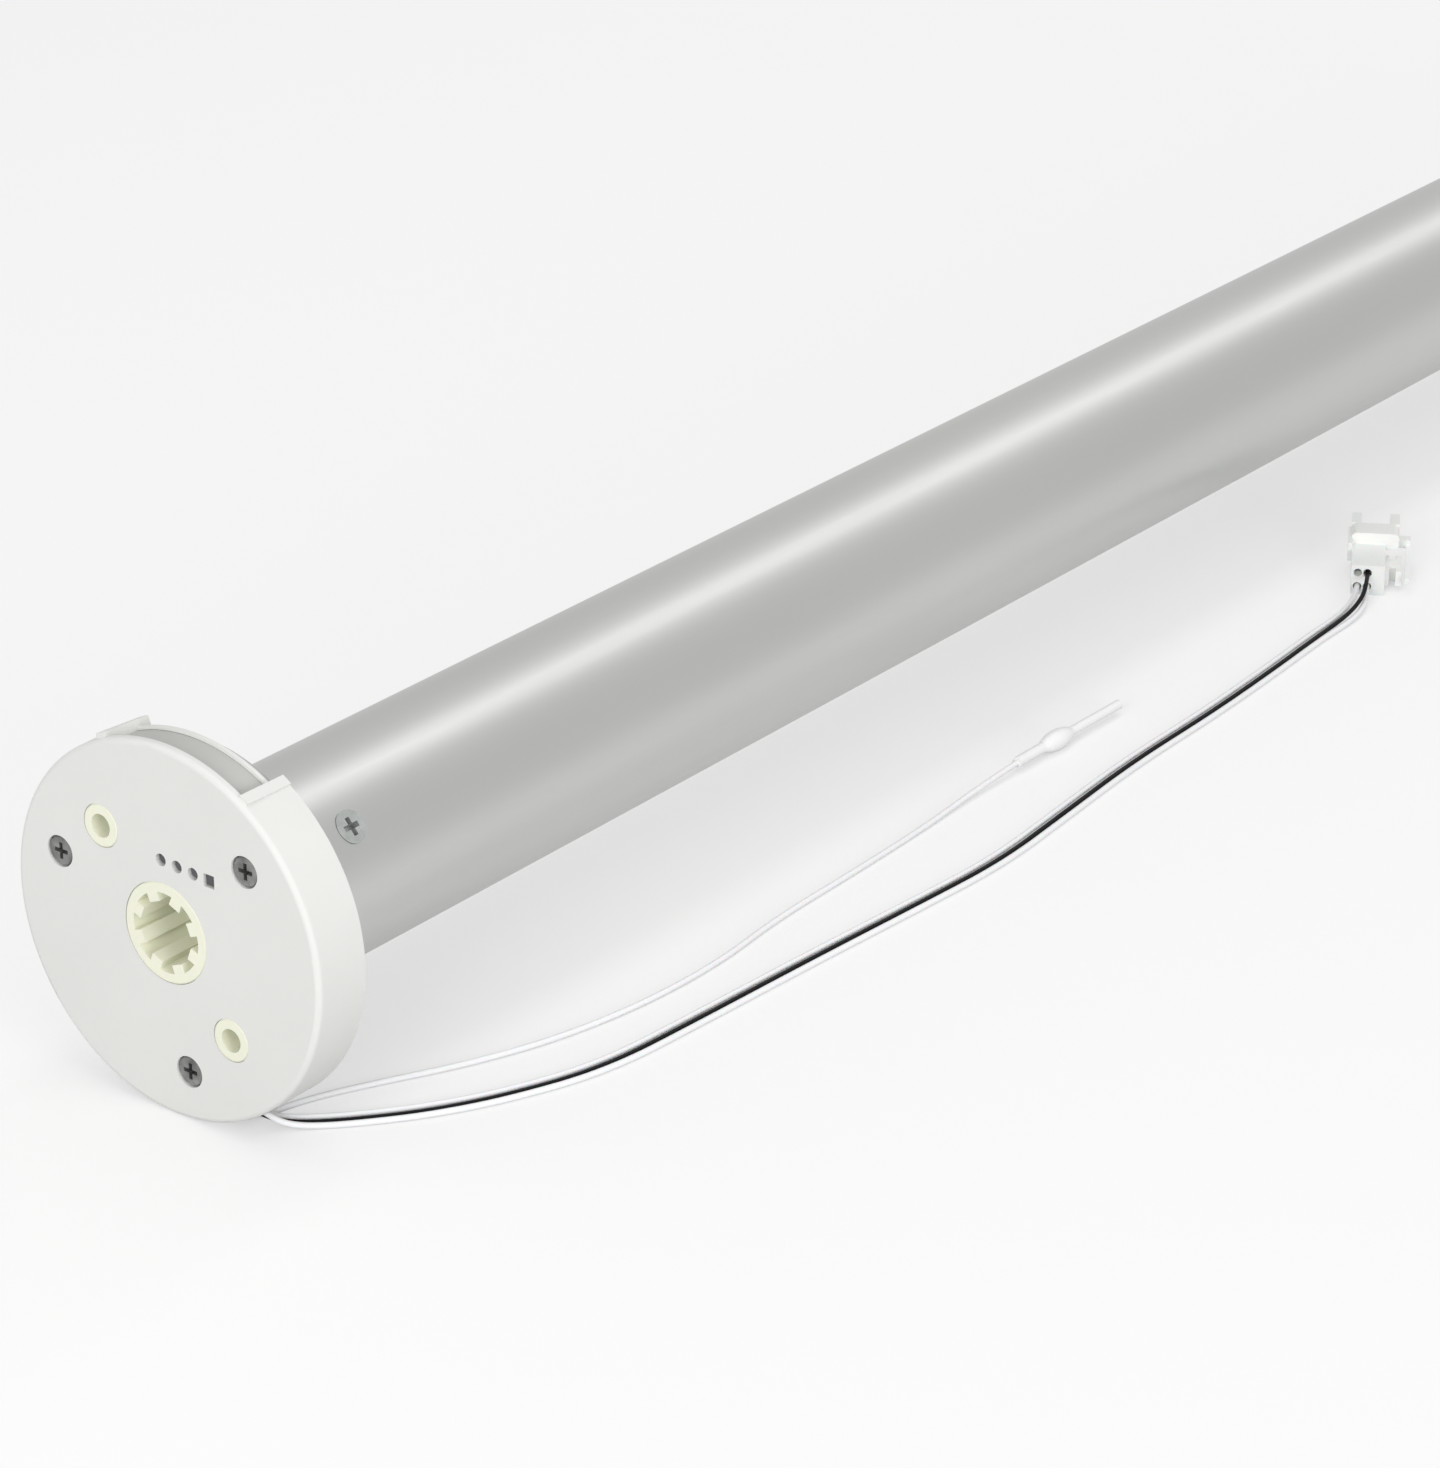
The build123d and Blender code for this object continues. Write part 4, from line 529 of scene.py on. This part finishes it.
def by_ray(tree, lighting, camera, mirrored):
    """One number for the light that falls on things, one for the camera and one for reflections."""
    path = tree.nodes.new("ShaderNodeLightPath")
    total = lighting
    for ray, strength in (("Is Camera Ray", camera), ("Is Glossy Ray", mirrored)):
        step = tree.nodes.new("ShaderNodeMath")
        step.operation = "MULTIPLY_ADD"
        tree.links.new(path.outputs[ray], step.inputs[0])
        step.inputs[1].default_value = strength - lighting
        if total is lighting:
            step.inputs[2].default_value = lighting
        else:
            tree.links.new(total, step.inputs[2])
        total = step.outputs["Value"]
    return total


floor_tree.links.new(by_ray(floor_tree, 0, floor_lift, floor_mirrored),
                     floor_shader.inputs["Emission Strength"])
floor_mesh.materials.append(floor_finish)
print("floor at", surface)

# %% The sky and the lamps
sky_light = 0.62
sky_camera = 0.945
sky_mirrored = 0.62
sky_colour = (1.0, 1.0, 0.995, 1)
world = bpy.data.worlds.new("studio")
world.use_nodes = True
background = world.node_tree.nodes["Background"]
background.inputs["Color"].default_value = sky_colour
world.node_tree.links.new(by_ray(world.node_tree, sky_light, sky_camera, sky_mirrored),
                          background.inputs["Strength"])
scene.world = world


def soft_lamp(name, place, aim, size, power):
    """A rectangular area lamp that points at aim."""
    lamp_data = bpy.data.lights.new(name, "AREA")
    lamp_data.shape = "RECTANGLE"
    lamp_data.size = size[0]
    lamp_data.size_y = size[1]
    lamp_data.energy = power
    lamp = bpy.data.objects.new(name, lamp_data)
    lamp.location = place
    lamp.rotation_euler = (Vector(place) - Vector(aim)).to_track_quat("Z", "Y").to_euler()
    scene.collection.objects.link(lamp)
    return lamp


# Each lamp's place, aim, size and power, and whether it shows in reflections
lamps = {
    "tube_lamp": ((0.95, 0.08, 0.72), (0.95, 0.08, 0), (2.2, 0.2), 1.85, True),
    "front_lamp": ((-0.9, -0.3, 0.4), (0, 0, 0), (0.5, 0.5), 3.9, False),
    "side_lamp": ((-0.25, -0.95, 0.2), (0.02, 0, 0), (0.5, 0.4), 3.1, False),
}
for name, (place, aim, size, power, mirrored) in lamps.items():
    soft_lamp(name, place, aim, size, power).visible_glossy = mirrored
scene.view_settings.view_transform = "Standard"
print("lamps:", len(lamps))
